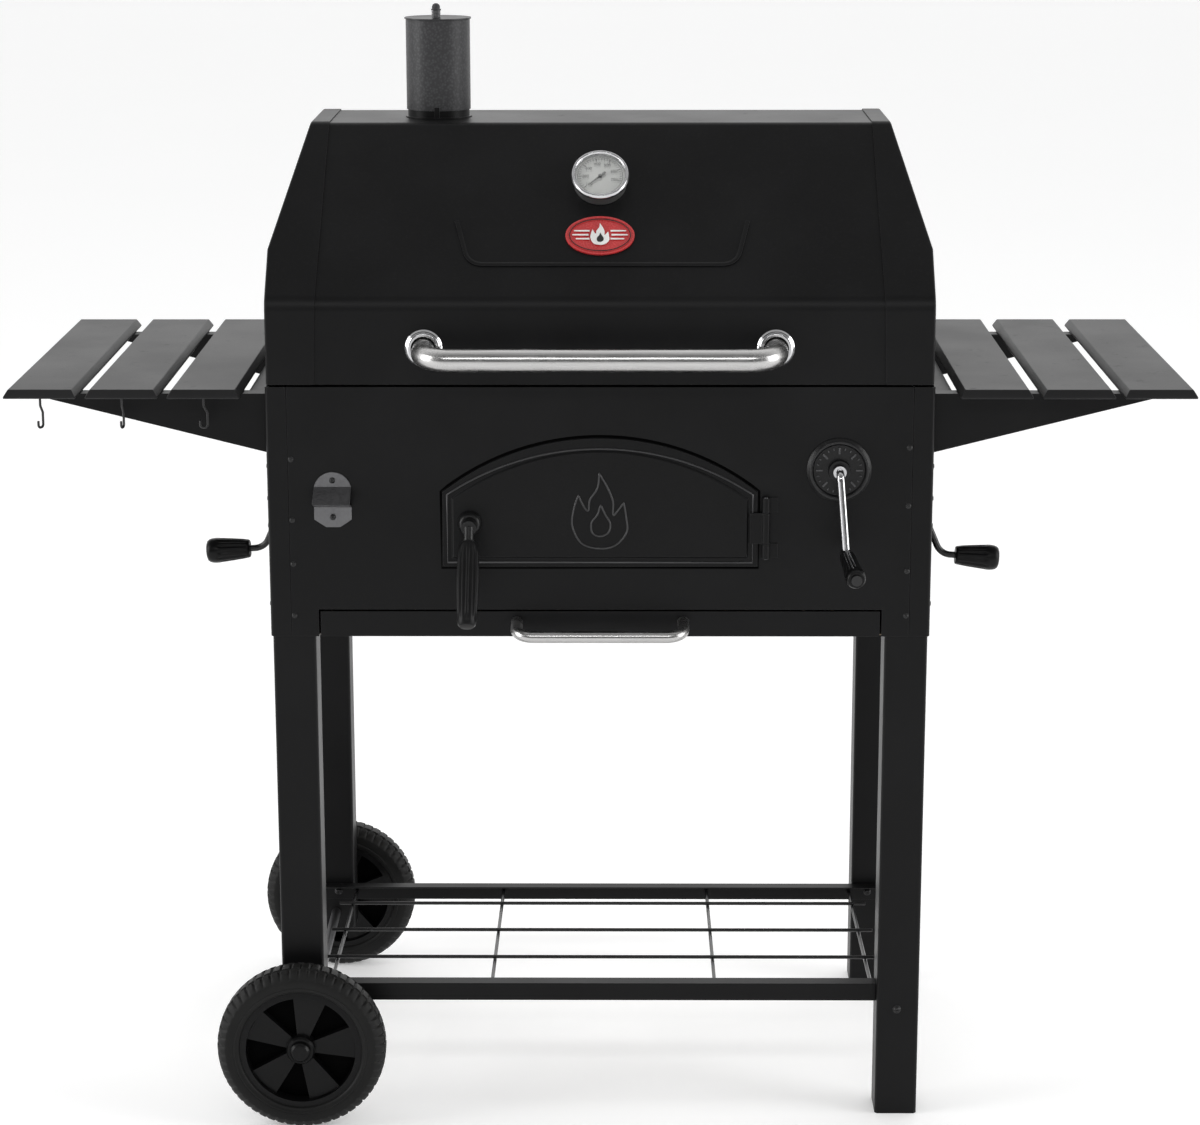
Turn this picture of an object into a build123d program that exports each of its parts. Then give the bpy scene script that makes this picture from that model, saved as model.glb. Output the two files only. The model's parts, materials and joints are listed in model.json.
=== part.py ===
from build123d import *

import math
import os

# Cart charcoal grill: a steel firebox with a hinged faceted lid, an arched front door, a crank
# that raises the charcoal tray, a slide-out ash pan, two slatted shelves and two wheels.
#
# Working coordinates, mm: X to the right, Y towards the back with 0 on the front panel's face,
# Z up from the ground. Each piece is moved by ORIGIN_SHIFT as it is written, which puts the
# origin on the ground under the middle of the bounding box.

# ---- driving dimensions ----
SHEET = 1.5
BODY_HALF = 381.0
BODY_DEPTH = 475.0
BODY_BOTTOM = 594.0
BODY_TOP = 887.0
WRAP = 24.0                 # how far the side panels fold round onto the front and back
MID_Y = BODY_DEPTH / 2

LEG = 50.0
LEG_WALL = 2.0
LEG_OUTER = 379.0
LEG_TOP = 858.0
LEG_FRONT = (SHEET, SHEET + LEG)
LEG_REAR = (BODY_DEPTH - SHEET - LEG, BODY_DEPTH - SHEET)
CAP = 4.0                   # thickness of the plastic cap under each leg
AXLED_LEG_BOTTOM = 82.0

WHEEL_R = 100.0
WHEEL_WIDTH = 44.0
RIM_R = 72.0
AXLE_R = 6.0
AXLE_X = -(LEG_OUTER - LEG / 2)
WHEEL_Y = (-28.0, BODY_DEPTH + 28.0)

LID_BOTTOM = 890.0
LID_CREASE = 984.0
LID_TOP = 1170.0
LID_CREASE_R = 28.0         # outer radius of the soft bend between the band and the slope
LID_TOP_R = 12.0
LID_PROUD = 3.0             # the lid's ends overhang the firebox by this at front and back
LID_SLOPE_RUN = 173.0
LID_BACK_RUN = 148.0
LID_END = 379.0
LID_KINK = 1037.0
LID_SHOULDER = 338.0        # half width of the lid's end at its top
LID_SEAM = (325.0, 316.0)   # half width of the seam at the band and at the top
HINGE_Y = 484.0
HINGE_Z = 888.5
HINGE_X = (-230.0, 230.0)

STACK_X = -193.0
STACK_Y = 249.0
STACK_R = 38.0
STACK_TOP = 1283.0
STACK_COLLAR = 9.0          # height of the narrower collar under the flue
STACK_PIN_Y = STACK_Y - STACK_R + 6.5

HANDLE_R = 13.0
HANDLE_HALF = 199.0

DOOR_HALF = 180.0
DOOR_BOTTOM = 678.0
DOOR_SHOULDER = 765.0
DOOR_APEX = 828.0
DOOR_HINGE = (190.0, -5.0)
LATCH = (-149.0, 730.0)

DRAWER_HALF = 323.0
DRAWER_TOP = 624.0
PAN_DEPTH = 440.0

CRANK_X = 273.0
CRANK_Z = 791.0
CRANK_PIN = Vector(280.5, -38, 700)
CRANK_PIN_END = Vector(285.5, -131, 693)
SHAFT_R = 5.0
PINION_TEETH = 16
PINION_R = 10.0
TRAY_HALF = 250.0
TRAY_Y = (38.0, 437.0)
TRAY_BOTTOM = 690.0
TRAY_RIM = 730.0
RACK_Y = ((66.0, 78.0), (397.0, 409.0))

GRATE_BOTTOM = 861.5
GRATE_TOP = 873.5

SLAT_TOP = 885.0
SLAT_THICK = 10.0
SLAT_WIDTH = 82.0
SLAT_BEVEL = 5.0
SLAT_PITCH = 93.0
SLAT_FIRST = 450.0
SLAT_Y = (-10.0, 493.0)
ARM_TIP = 640.0
ARM_Y = ((24.0, 46.0), (429.0, 451.0))

DAMPER_Z = 703.0
DAMPER_R = 50.0
LEVER_REACH = 68.0
LEFT_DAMPER_TURN = 17.0     # degrees that the left damper's lever hangs back of straight down

RUNNING = 0.06              # radial clearance of a shaft in its hole
PIN_HEAD_R = 6.0
PIN_SLANT = (CRANK_PIN_END - CRANK_PIN).normalized()
FRONT_MOST = CRANK_PIN_END.Y - PIN_HEAD_R * math.sqrt(1 - PIN_SLANT.Y ** 2)
REAR_MOST = WHEEL_Y[1] + WHEEL_WIDTH / 2 + 8.0
ORIGIN_SHIFT = -(FRONT_MOST + REAR_MOST) / 2


# ---- helpers ----
def block(x, y, z):
    """Box between (low, high) pairs on each axis."""
    spans = (x, y, z)
    size = [high - low for low, high in spans]
    middle = [(high + low) / 2 for low, high in spans]
    return Pos(*middle) * Box(*size)


def rod(start, direction, radius, length):
    """Cylinder from a start point along a direction."""
    return Solid.make_cylinder(radius, length, Plane(origin=start, z_dir=direction))


def outline(points):
    return make_face(Polyline(*points, close=True))


def along_x(sketch, x_from, x_to):
    """Extrude a sketch drawn in (Y, Z) between two X planes."""
    plane = Plane(origin=(x_from, 0, 0), x_dir=(0, 1, 0), z_dir=(1, 0, 0))
    return extrude(plane * sketch, amount=x_to - x_from)


def along_y(sketch, y_from, y_to):
    """Extrude a sketch drawn in (X, Z) between two Y planes."""
    plane = Plane(origin=(0, y_to, 0), x_dir=(1, 0, 0), z_dir=(0, -1, 0))
    return extrude(plane * sketch, amount=y_to - y_from)


def along_z(sketch, z_from, z_to):
    """Extrude a sketch drawn in (X, Y) between two Z planes."""
    return extrude(Pos(0, 0, z_from) * sketch, amount=z_to - z_from)


def turned(profile, origin, direction):
    """Revolve (radius, height) points about an axis through the origin."""
    plane = Plane(origin=(0, 0, 0), x_dir=(1, 0, 0), z_dir=(0, -1, 0))
    solid = revolve(plane * outline(profile), axis=Axis.Z)
    return Plane(origin=origin, z_dir=direction).location * solid


def bent_rod(points, radius, bend):
    """Round bar along straight runs joined by arcs."""
    path = FilletPolyline(*points, radius=bend)
    section = Plane(origin=path @ 0, z_dir=path % 0) * Circle(radius)
    return sweep(section, path=path)


def both_sides(solid):
    return [solid, mirror(solid, about=Plane.YZ)]


def group(shapes):
    """One compound of separate solids."""
    return Compound([solid for shape in shapes for solid in shape.solids()])


def write(name, *shapes):
    placed = Pos(0, ORIGIN_SHIFT, 0) * group(shapes)
    export_step(placed, f"parts/{name}.step")


def side_name(side):
    return "left" if side < 0 else "right"


# ---- firebox ----
def arch(half, bottom, shoulder, apex):
    """Door shape in (X, Z): straight sides under a shallow arc."""
    return make_face(Curve() + [
        Line((-half, bottom), (half, bottom)),
        Line((half, bottom), (half, shoulder)),
        ThreePointArc((half, shoulder), (0, apex), (-half, shoulder)),
        Line((-half, shoulder), (-half, bottom)),
    ])


def door_opening():
    return arch(DOOR_HALF - 14, DOOR_BOTTOM + 14, DOOR_SHOULDER - 12, DOOR_APEX - 15)


def front_panel():
    half = BODY_HALF - WRAP - 0.5
    face = outline([(-half, BODY_BOTTOM), (half, BODY_BOTTOM), (half, BODY_TOP), (-half, BODY_TOP)])
    notch = DRAWER_HALF + 2
    face -= outline([(-notch, BODY_BOTTOM - 1), (notch, BODY_BOTTOM - 1),
                     (notch, DRAWER_TOP + 2), (-notch, DRAWER_TOP + 2)])
    panel = along_y(face - door_opening(), 0, SHEET)
    lip = block((-half, half), (SHEET, 14), (BODY_TOP - SHEET, BODY_TOP))
    shaft_hole = rod((CRANK_X, -1, CRANK_Z), (0, 1, 0), SHAFT_R + 1, 4)
    return panel + lip - shaft_hole


def back_panel():
    half = BODY_HALF - WRAP - 0.5
    panel = block((-half, half), (BODY_DEPTH - SHEET, BODY_DEPTH), (BODY_BOTTOM, BODY_TOP))
    lip = block((-half, half), (BODY_DEPTH - 14, BODY_DEPTH - SHEET), (BODY_TOP - SHEET, BODY_TOP))
    return panel + lip


def damper_holes(x_from, x_to, turn=0):
    """Three air holes round the side damper's pivot."""
    holes = []
    for index in range(3):
        angle = math.radians(90 + 120 * index + turn)
        centre = (x_from, MID_Y + 28 * math.cos(angle), DAMPER_Z + 28 * math.sin(angle))
        holes.append(rod(centre, (1, 0, 0), 11, x_to - x_from))
    return holes


def side_panel(side):
    """Side sheet folded round onto the front and the back."""
    inner = BODY_HALF - SHEET
    edge = BODY_HALF - WRAP
    points = [(edge, 0), (BODY_HALF, 0), (BODY_HALF, BODY_DEPTH), (edge, BODY_DEPTH),
              (edge, BODY_DEPTH - SHEET), (inner, BODY_DEPTH - SHEET), (inner, SHEET), (edge, SHEET)]
    section = outline(points)
    outer = [v for v in section.vertices() if v.X > BODY_HALF - 0.1]
    section = fillet(outer, 4)
    bends = [v for v in section.vertices() if abs(v.X - inner) < 0.1 and SHEET <= v.Y <= BODY_DEPTH - SHEET]
    section = fillet(bends, 2.5)
    panel = along_z(section, BODY_BOTTOM, BODY_TOP)
    panel += block((BODY_HALF - 14, inner), (14, BODY_DEPTH - 14), (BODY_TOP - SHEET, BODY_TOP))
    for hole in damper_holes(inner - 2, BODY_HALF + 2):
        panel -= hole
    panel -= rod((inner - 2, MID_Y, DAMPER_Z), (1, 0, 0), 4 + RUNNING, 6)
    return panel if side > 0 else mirror(panel, about=Plane.YZ)


def grate_ledges():
    """Angle strips across the front and the back that carry the cooking grates."""
    half = BODY_HALF - WRAP - 1
    shelf = GRATE_BOTTOM - SHEET
    front = block((-half, half), (SHEET, 24), (shelf, GRATE_BOTTOM))
    rib = LEG_OUTER - LEG - 1
    front += block((-rib, rib), (SHEET, 3), (shelf - 20, shelf))
    return [front, mirror(front, about=Plane.XZ.offset(-MID_Y))]


def cooking_grate():
    """One cast-iron grate: a frame, eight long bars and a cross bar."""
    width, depth, frame = 188.0, BODY_DEPTH - 2 * SHEET - 6, 9.0
    bar, bars = 6.0, 8
    spans = (-width / 2, width / 2), (-depth / 2, depth / 2), (0, GRATE_TOP - GRATE_BOTTOM)
    grate = block(*spans)
    gap = (width - 2 * frame - bars * bar) / (bars + 1)
    for index in range(bars + 1):
        low = -width / 2 + frame + index * (gap + bar)
        for end in (-1, 1):
            opening = sorted((end * 5, end * (depth / 2 - frame)))
            grate -= block((low, low + gap), opening, (-1, GRATE_TOP))
    return grate


def cooking_grates():
    pitch = 189.0
    places = [pitch * (index - 1.5) for index in range(4)]
    return [Pos(x, MID_Y, GRATE_BOTTOM) * cooking_grate() for x in places]


def drawer_runners():
    """Angle strips between the legs that the ash pan slides on."""
    reach = LEG_OUTER - LEG
    length = (LEG_FRONT[0] + 2, LEG_REAR[1] - 2)
    runner = block((reach - 26, reach), length, (595, 596.5))
    runner += block((reach - SHEET, reach), length, (596.5, 618))
    return both_sides(runner)


# ---- cart ----
def square_tube(x, y, z):
    outer = block(x, y, z)
    outer = fillet(outer.edges().filter_by(Axis.Z), 4)
    wall = LEG_WALL
    bore = block((x[0] + wall, x[1] - wall), (y[0] + wall, y[1] - wall), (z[0] - 1, z[1] + 1))
    return outer - bore


def leg(side, row):
    x = (LEG_OUTER - LEG, LEG_OUTER) if side > 0 else (-LEG_OUTER, LEG - LEG_OUTER)
    y = LEG_FRONT if row == "front" else LEG_REAR
    if side > 0:
        return square_tube(x, y, (CAP, LEG_TOP))
    tube = square_tube(x, y, (AXLED_LEG_BOTTOM, LEG_TOP))
    return tube - rod((AXLE_X, y[0] - 1, WHEEL_R), (0, 1, 0), AXLE_R + 0.1, LEG + 2)


def leg_caps():
    caps = []
    inset = LEG_WALL + 0.2
    for side in (-1, 1):
        floor = 0 if side > 0 else AXLED_LEG_BOTTOM - CAP
        for y in (LEG_FRONT, LEG_REAR):
            x = sorted((side * (LEG_OUTER - LEG), side * LEG_OUTER))
            foot = block(x, y, (floor, floor + CAP))
            foot = chamfer(foot.edges().filter_by(Axis.Z), 3)
            plug = block((x[0] + inset, x[1] - inset), (y[0] + inset, y[1] - inset),
                         (floor + CAP, floor + CAP + 7))
            caps.append(foot + plug)
    return caps


def axle():
    start = WHEEL_Y[0] - WHEEL_WIDTH / 2 - 4
    end = WHEEL_Y[1] + WHEEL_WIDTH / 2 + 4
    return rod((AXLE_X, start, WHEEL_R), (0, 1, 0), AXLE_R, end - start)


def axle_caps():
    """Push-on dome caps at both ends of the axle."""
    face = WHEEL_WIDTH / 2 + 0.4
    profile = [(0, 4), (AXLE_R, 4), (AXLE_R, 0.4), (12, 0.4), (12, 4), (9, 7.6), (0, 8)]
    return [turned(profile, (AXLE_X, WHEEL_Y[0] - WHEEL_WIDTH / 2, WHEEL_R), (0, -1, 0)),
            turned(profile, (AXLE_X, WHEEL_Y[1] + face - 0.4, WHEEL_R), (0, 1, 0))]


def tyre(y):
    half = WHEEL_WIDTH / 2
    profile = [(RIM_R, -half + 4), (RIM_R + 6, -half), (WHEEL_R - 12, -half), (WHEEL_R - 3, -half + 8),
               (WHEEL_R, -half + 14), (WHEEL_R, half - 14), (WHEEL_R - 3, half - 8),
               (WHEEL_R - 12, half), (RIM_R + 6, half), (RIM_R, half - 4)]
    return turned(profile, (AXLE_X, y, WHEEL_R), (0, 1, 0))


def hub(y, outward):
    """Moulded wheel centre: a rim, a boss, and five wedge spokes on each side of a thin web."""
    half = WHEEL_WIDTH / 2
    rim = [(RIM_R - 7, -half + 3), (RIM_R, -half + 4), (RIM_R, half - 4), (RIM_R - 7, half - 3)]
    centre = (AXLE_X, y, WHEEL_R)
    wheel = turned(rim, centre, (0, outward, 0))
    web = [(15, -2), (RIM_R - 7, -2), (RIM_R - 7, 2), (15, 2)]
    wheel += turned(web, centre, (0, outward, 0))
    boss = [(AXLE_R + RUNNING, -half), (15, -half), (17, -half + 3), (17, half - 3), (15, half),
            (AXLE_R + RUNNING, half)]
    wheel += turned(boss, centre, (0, outward, 0))
    for index in range(5):
        angle = math.radians(90 - 10.5 - 72 * index)
        spread = math.radians(17.5)
        reach = RIM_R - 5
        corners = [(radius * math.cos(angle + turn), radius * math.sin(angle + turn))
                   for radius, turn in ((13, -1.6 * spread), (reach, -spread), (reach, spread),
                                        (13, 1.6 * spread))]
        wedge = outline([(AXLE_X + u, WHEEL_R + v) for u, v in corners])
        wheel += along_y(wedge, y - half + 9, y + half - 9)
    return wheel


RACK_SLOPE = (155.0 - 136.0) / 393.0


def rack_height(y):
    """Height of the long wires' centres: the rack leans down a little towards the back."""
    return 155.0 - RACK_SLOPE * (y - 25.0)


def rack_rails():
    reach = LEG_OUTER - LEG
    front = block((-reach, reach), (15, 17), (139, 160.5)) + block((-reach, reach), (17, 35), (158.5, 160.5))
    back = LEG_REAR[0]
    span = (-LEG_OUTER + 7, LEG_OUTER - 7)
    rear = block(span, (back - 2, back), (119, 141)) + block(span, (back - 17, back - 2), (139, 141))
    return [front, rear]


def rack_long_wires():
    return [rod((-342, y, rack_height(y)), (1, 0, 0), 2.2, 684) for y in (131.0, 239.0, 351.0)]


def rack_cross_wires():
    start, end, drop = 17.0, LEG_REAR[0] - 2, 4.4
    run = Vector(0, end - start, rack_height(end) - rack_height(start))
    wires = []
    for x in (-325.0, -131.0, 137.0, 325.0):
        wire = rod((x, start - 2, rack_height(start - 2) - drop), run, 2.2, run.length + 5)
        wires.append(wire & block((x - 5, x + 5), (start, end), (100, 170)))
    return wires


# ---- shelves ----
def slat(x):
    """Shelf board with all four edges bevelled towards the top."""
    low, plain = SLAT_TOP - SLAT_THICK, 2.0
    foot = block((x - SLAT_WIDTH / 2, x + SLAT_WIDTH / 2), SLAT_Y, (low, low + plain))
    base = Pos(x, sum(SLAT_Y) / 2, low + plain) * Rectangle(SLAT_WIDTH, SLAT_Y[1] - SLAT_Y[0])
    taper = math.degrees(math.atan(SLAT_BEVEL / (SLAT_THICK - plain)))
    return foot + extrude(base, amount=SLAT_THICK - plain, taper=taper)


def slats(side):
    return [slat(side * (SLAT_FIRST + SLAT_PITCH * index)) for index in range(3)]


def shelf_brackets():
    """On each side two triangular plate arms with flanges, and a strip that joins them."""
    top = SLAT_TOP - SLAT_THICK
    gap_end = SLAT_FIRST - SLAT_WIDTH / 2 - 1
    frame = block((BODY_HALF, gap_end), (ARM_Y[0][0], ARM_Y[1][1]), (top - 9, top - 7))
    for y, inward in zip(ARM_Y, (1, -1)):
        plate = outline([(BODY_HALF, 806), (BODY_HALF, top), (ARM_TIP, top), (ARM_TIP, top - 4)])
        near = y[0] if inward > 0 else y[1]
        frame += along_y(plate, *sorted((near, near + 2 * inward)))
        frame += block((BODY_HALF, ARM_TIP), y, (top - 2, top))
        frame += block((BODY_HALF, BODY_HALF + 2), y, (806, top))
    return both_sides(frame)


def tool_hooks():
    """Three wire hooks under the left shelf's front edge, each turned a little differently."""
    top = SLAT_TOP - SLAT_THICK
    hooks = []
    for index, turn in enumerate((0, 78, 62)):
        points = [(0, 0, 0), (0, 0, -9), (4, 0, -17), (4, 0, -34), (-4.5, 0, -34), (-4.5, 0, -26)]
        hook = bent_rod(points, 1.4, 3.6)
        x = -(SLAT_FIRST + SLAT_PITCH * index)
        hooks.append(Pos(x, -3, top) * (Rot(0, 0, turn) * hook))
    return hooks


def bottle_opener():
    """Bent plate: a round tab, a ramp out to the lip, and a pointed tab below it."""
    middle = -306.0
    fold = Polyline((-0.75, 789), (-0.75, 771), (-26, 756), (-0.75, 748), (-0.75, 722))
    strip = along_x(trace(fold, line_width=SHEET), middle - 21.5, middle + 21.5)
    shape = make_face(Curve() + [
        ThreePointArc((middle - 21.5, 767), (middle, 788.5), (middle + 21.5, 767)),
        Line((middle + 21.5, 767), (middle + 21.5, 733)),
        Line((middle + 21.5, 733), (middle + 8, 724)),
        Line((middle + 8, 724), (middle - 8, 724)),
        Line((middle - 8, 724), (middle - 21.5, 733)),
        Line((middle - 21.5, 733), (middle - 21.5, 767)),
    ])
    return strip & along_y(shape, -40, 0)


def screw(place, direction, radius, height):
    profile = [(0, 0), (radius, 0), (radius, height * 0.4), (radius * 0.6, height), (0, height)]
    return turned(profile, place, direction)


def fasteners():
    """Screw heads of the panels, legs, shelf arms, rack rails and bottle opener."""
    heads = []
    rows = {-1: (803, 732, 680, 619), 1: (817, 749, 672, 619)}
    for side in (-1, 1):
        for z in rows[side]:
            heads.append(screw((side * 353, 0, z), (0, -1, 0), 3.2, 1.8))
            heads.append(screw((side * 353, BODY_DEPTH, z), (0, 1, 0), 3.2, 1.8))
        for y in (LEG_FRONT[0] + 25, LEG_REAR[0] + 25):
            for z in (790, 752, 720, 627):
                heads.append(screw((side * BODY_HALF, y, z), (side, 0, 0), 4, 3))
        for y in (36, 439):
            for z in (822, 856):
                heads.append(screw((side * (BODY_HALF + 2), y, z), (side, 0, 0), 5, 3.5))
        heads.append(screw((side * 350, LEG_REAR[0] - 2, 130), (0, -1, 0), 5, 3.5))
    heads.append(screw((353, LEG_FRONT[0], 133.5), (0, -1, 0), 5, 3))
    for z in (779, 736):
        heads.append(screw((-306, -SHEET, z), (0, -1, 0), 3.6, 2.2))
    return heads


# ---- charcoal tray lift ----
def crank_dial():
    """Round plate with a raised rim, a hub that is the shaft's bush, and eight height marks."""
    centre = (CRANK_X, 0, CRANK_Z)
    bore = SHAFT_R + RUNNING
    profile = [(bore, -SHEET), (SHAFT_R + 1, -SHEET), (SHAFT_R + 1, 0), (37, 0), (37, 1.5), (34, 4.5),
               (31, 4.5), (29, 2), (13, 2), (12, 9), (bore, 9)]
    dial = turned(profile, centre, (0, -1, 0))
    for index in range(8):
        mark = block((-1.2, 1.2), (-3.2, -1.5), (20, 26))
        dial += Pos(*centre) * (Rot(0, 45 * index, 0) * mark)
    return dial


def crank_arm():
    """Chrome arm, bent from the shaft's end down to the slanting pin that carries the grip."""
    arm_foot = CRANK_PIN - PIN_SLANT * 3
    arm = bent_rod([(CRANK_X, -9.5, CRANK_Z), (CRANK_X, -24, CRANK_Z), arm_foot], 4.6, 9)
    arm += rod((CRANK_X, -16, CRANK_Z), (0, 1, 0), 7.5, 6.5)
    arm += rod(CRANK_PIN - PIN_SLANT * 8, PIN_SLANT, 7, 10)
    arm -= rod((CRANK_X, -14, CRANK_Z), (0, 1, 0), SHAFT_R, 20)
    length = (CRANK_PIN_END - CRANK_PIN).length
    arm += rod(CRANK_PIN, PIN_SLANT, 4, length)
    return arm + rod(CRANK_PIN_END - PIN_SLANT * 3, PIN_SLANT, PIN_HEAD_R, 3)


def crank_grip():
    bore = 4 + RUNNING
    start = 2.5
    length = (CRANK_PIN_END - CRANK_PIN).length - start - 3.5
    profile = [(bore, 0), (7.5, 0), (8.5, 3), (9.5, 40), (11.5, length - 8), (10.5, length - 1),
               (9, length), (bore, length)]
    return turned(profile, CRANK_PIN + PIN_SLANT * start, PIN_SLANT)


PITCH = 2 * math.pi * PINION_R / PINION_TEETH
TOOTH_TIP = 0.4
TOOTH_ROOT = 1.0
TOOTH_OUT = 1.0
TOOTH_IN = 1.3


def pinion(y):
    """Toothed wheel with slim teeth, so that it never binds on the rack."""
    root = PINION_R - TOOTH_IN
    gear = rod((CRANK_X, y[0], CRANK_Z), (0, 1, 0), root, y[1] - y[0])
    tooth = outline([(root - 0.5, -TOOTH_ROOT), (PINION_R + TOOTH_OUT, -TOOTH_TIP),
                     (PINION_R + TOOTH_OUT, TOOTH_TIP), (root - 0.5, TOOTH_ROOT)])
    for index in range(PINION_TEETH):
        turned_tooth = Pos(CRANK_X, CRANK_Z) * (Rot(0, 0, 180 + 360 / PINION_TEETH * index) * tooth)
        gear += along_y(turned_tooth, *y)
    return gear


def lift_shaft():
    shaft = rod((CRANK_X, -14, CRANK_Z), (0, 1, 0), SHAFT_R, 470)
    for y in RACK_Y:
        shaft += pinion(y)
    return shaft


def tray_rack(y):
    """Toothed bar on the tray's right wall, in mesh with the pinion at every height."""
    line = CRANK_X - PINION_R
    root = line - TOOTH_IN
    top = CRANK_Z + 5
    bar = block((TRAY_HALF, root), y, (TRAY_BOTTOM, top))
    travel = 2 * math.pi * PINION_R
    for index in range(-1, int(travel / PITCH) + 2):
        z = CRANK_Z - (index + 0.5) * PITCH
        tooth = outline([(root - 0.5, z - TOOTH_ROOT), (line + TOOTH_OUT, z - TOOTH_TIP),
                         (line + TOOTH_OUT, z + TOOTH_TIP), (root - 0.5, z + TOOTH_ROOT)])
        bar += along_y(tooth, *y)
    return bar


def charcoal_tray():
    """Open pan with air slots in its floor and a toothed bar at each end of its right wall."""
    wall = 2.0
    tray = block((-TRAY_HALF, TRAY_HALF), TRAY_Y, (TRAY_BOTTOM, TRAY_RIM))
    tray -= block((-TRAY_HALF + wall, TRAY_HALF - wall), (TRAY_Y[0] + wall, TRAY_Y[1] - wall),
                  (TRAY_BOTTOM + wall, TRAY_RIM + 1))
    for column in range(9):
        x = -200 + 50 * column
        for y in (90, 187, 288, 385):
            tray -= block((x - 6, x + 6), (y - 32, y + 32), (TRAY_BOTTOM - 1, TRAY_BOTTOM + wall + 1))
    for y in RACK_Y:
        tray += tray_rack(y)
    return tray


def lift_guides():
    """Four upright guides round the tray's corners, and the shaft's rear bearing."""
    z = (680, 812)
    side = TRAY_HALF + 2
    guide = block((side, side + 2), (SHEET, 60), z)
    guide += block((side - 20, side), (TRAY_Y[0] - 4, TRAY_Y[0] - 2), z)
    rear = mirror(guide, about=Plane.XZ.offset(-MID_Y))
    bearing = block((CRANK_X - 17, CRANK_X + 17), (446, 452), (CRANK_Z - 17, CRANK_Z + 17))
    bearing += block((CRANK_X + 14, CRANK_X + 17), (452, BODY_DEPTH - SHEET), (CRANK_Z - 17, CRANK_Z + 17))
    bearing -= rod((CRANK_X, 440, CRANK_Z), (0, 1, 0), SHAFT_R + RUNNING, 20)
    return both_sides(guide) + both_sides(rear) + [bearing]


# ---- front door ----
def door_panel():
    """Pressed door: a flat border round a raised field, with one hinge knuckle."""
    skin = (-2.5, -0.5)
    door = along_y(arch(DOOR_HALF, DOOR_BOTTOM, DOOR_SHOULDER, DOOR_APEX), *skin)
    field = along_y(arch(DOOR_HALF - 10, DOOR_BOTTOM + 10, DOOR_SHOULDER - 7, DOOR_APEX - 14), -5.5, -2.5)
    field = chamfer(field.faces().sort_by(Axis.Y)[0].edges(), 2.2)
    door += field
    door -= along_y(arch(DOOR_HALF - 14, DOOR_BOTTOM + 14, DOOR_SHOULDER - 11, DOOR_APEX - 19), -4, 0)
    door += block((DOOR_HALF - 8, DOOR_HINGE[0]), (-6, -4), (705.5, 741.5))
    door += block((DOOR_HALF - 8, DOOR_HALF - 6), (-6, -2), (705.5, 741.5))
    door += rod((*DOOR_HINGE, 705.5), (0, 0, 1), 4.5, 36)
    door -= rod((*DOOR_HINGE, 700), (0, 0, 1), 2 + RUNNING, 50)
    return door - rod((LATCH[0], -10, LATCH[1]), (0, 1, 0), 4 + RUNNING, 12)


def door_hinge_knuckles():
    knuckles = []
    for z in (688, 742):
        knuckle = rod((*DOOR_HINGE, z), (0, 0, 1), 4.5, 17)
        knuckle += block((DOOR_HINGE[0] - 1, DOOR_HINGE[0] + 14), (-1.6, 0), (z, z + 17))
        knuckles.append(knuckle - rod((*DOOR_HINGE, z - 1), (0, 0, 1), 2, 19))
    return knuckles


def latch_boss():
    bore = 4 + RUNNING
    profile = [(bore, 0), (14, 0), (14, 3), (11.5, 8), (9.5, 9.5), (bore, 9.5)]
    return turned(profile, (LATCH[0], -5.5, LATCH[1]), (0, -1, 0))


LATCH_TOP = Vector(LATCH[0], -38, 715)
LATCH_END = Vector(LATCH[0], -103, 632)


def latch_handle():
    """Spindle through the door, the tongue behind it, and the neck that carries the grip."""
    x, z = LATCH
    handle = rod((x, -26, z), (0, 1, 0), 4, 30)
    handle += block((x - 6, x + 6), (2, 4), (z - 26, z + 6))
    handle += rod((x, -34, z), (0, 1, 0), 8.5, 16)
    neck = LATCH_END - LATCH_TOP
    start = Vector(x, -30, z)
    handle += rod(start, LATCH_TOP - start, 6, (LATCH_TOP - start).length)
    return handle + rod(LATCH_TOP, neck, 4, 60) + rod(LATCH_TOP, neck, 8, 2)


def latch_grip():
    length = (LATCH_END - LATCH_TOP).length
    profile = [(4, 2), (10, 2), (11, 8), (13, 50), (11.5, length - 12), (10, length - 2), (8.5, length),
               (0, length), (0, 62), (4, 62)]
    return turned(profile, LATCH_TOP, LATCH_END - LATCH_TOP)


# ---- ash pan ----
def ash_pan():
    half = DRAWER_HALF - 2
    wall = SHEET
    pan = block((-half, half), (SHEET, PAN_DEPTH), (597, 620))
    return pan - block((-half + wall, half - wall), (SHEET + wall, PAN_DEPTH - wall), (597 + wall, 621))


def ash_pan_front():
    return block((-DRAWER_HALF, DRAWER_HALF), (0, SHEET), (BODY_BOTTOM, DRAWER_TOP))


def ash_pan_handle():
    reach, stand = 96.0, -40.0
    return bent_rod([(-reach, 0, 612), (-reach, stand, 604), (reach, stand, 604), (reach, 0, 612)],
                    6.8, 20) & block((-150, 150), (-60, 0), (560, 640))


# ---- side dampers ----
def placed_damper(solid, side):
    """The right one hangs straight down; the left one is its mirror image, turned back a little."""
    if side > 0:
        return solid
    pivot = Pos(0, MID_Y, DAMPER_Z)
    turned_back = pivot * (Rot(LEFT_DAMPER_TURN, 0, 0) * (Pos(0, -MID_Y, -DAMPER_Z) * solid))
    return mirror(turned_back, about=Plane.YZ)


LEVER_ELBOW = Vector(BODY_HALF + 35, MID_Y, DAMPER_Z - LEVER_REACH)
LEVER_SLANT = Vector(1, 0, -0.07)


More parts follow.
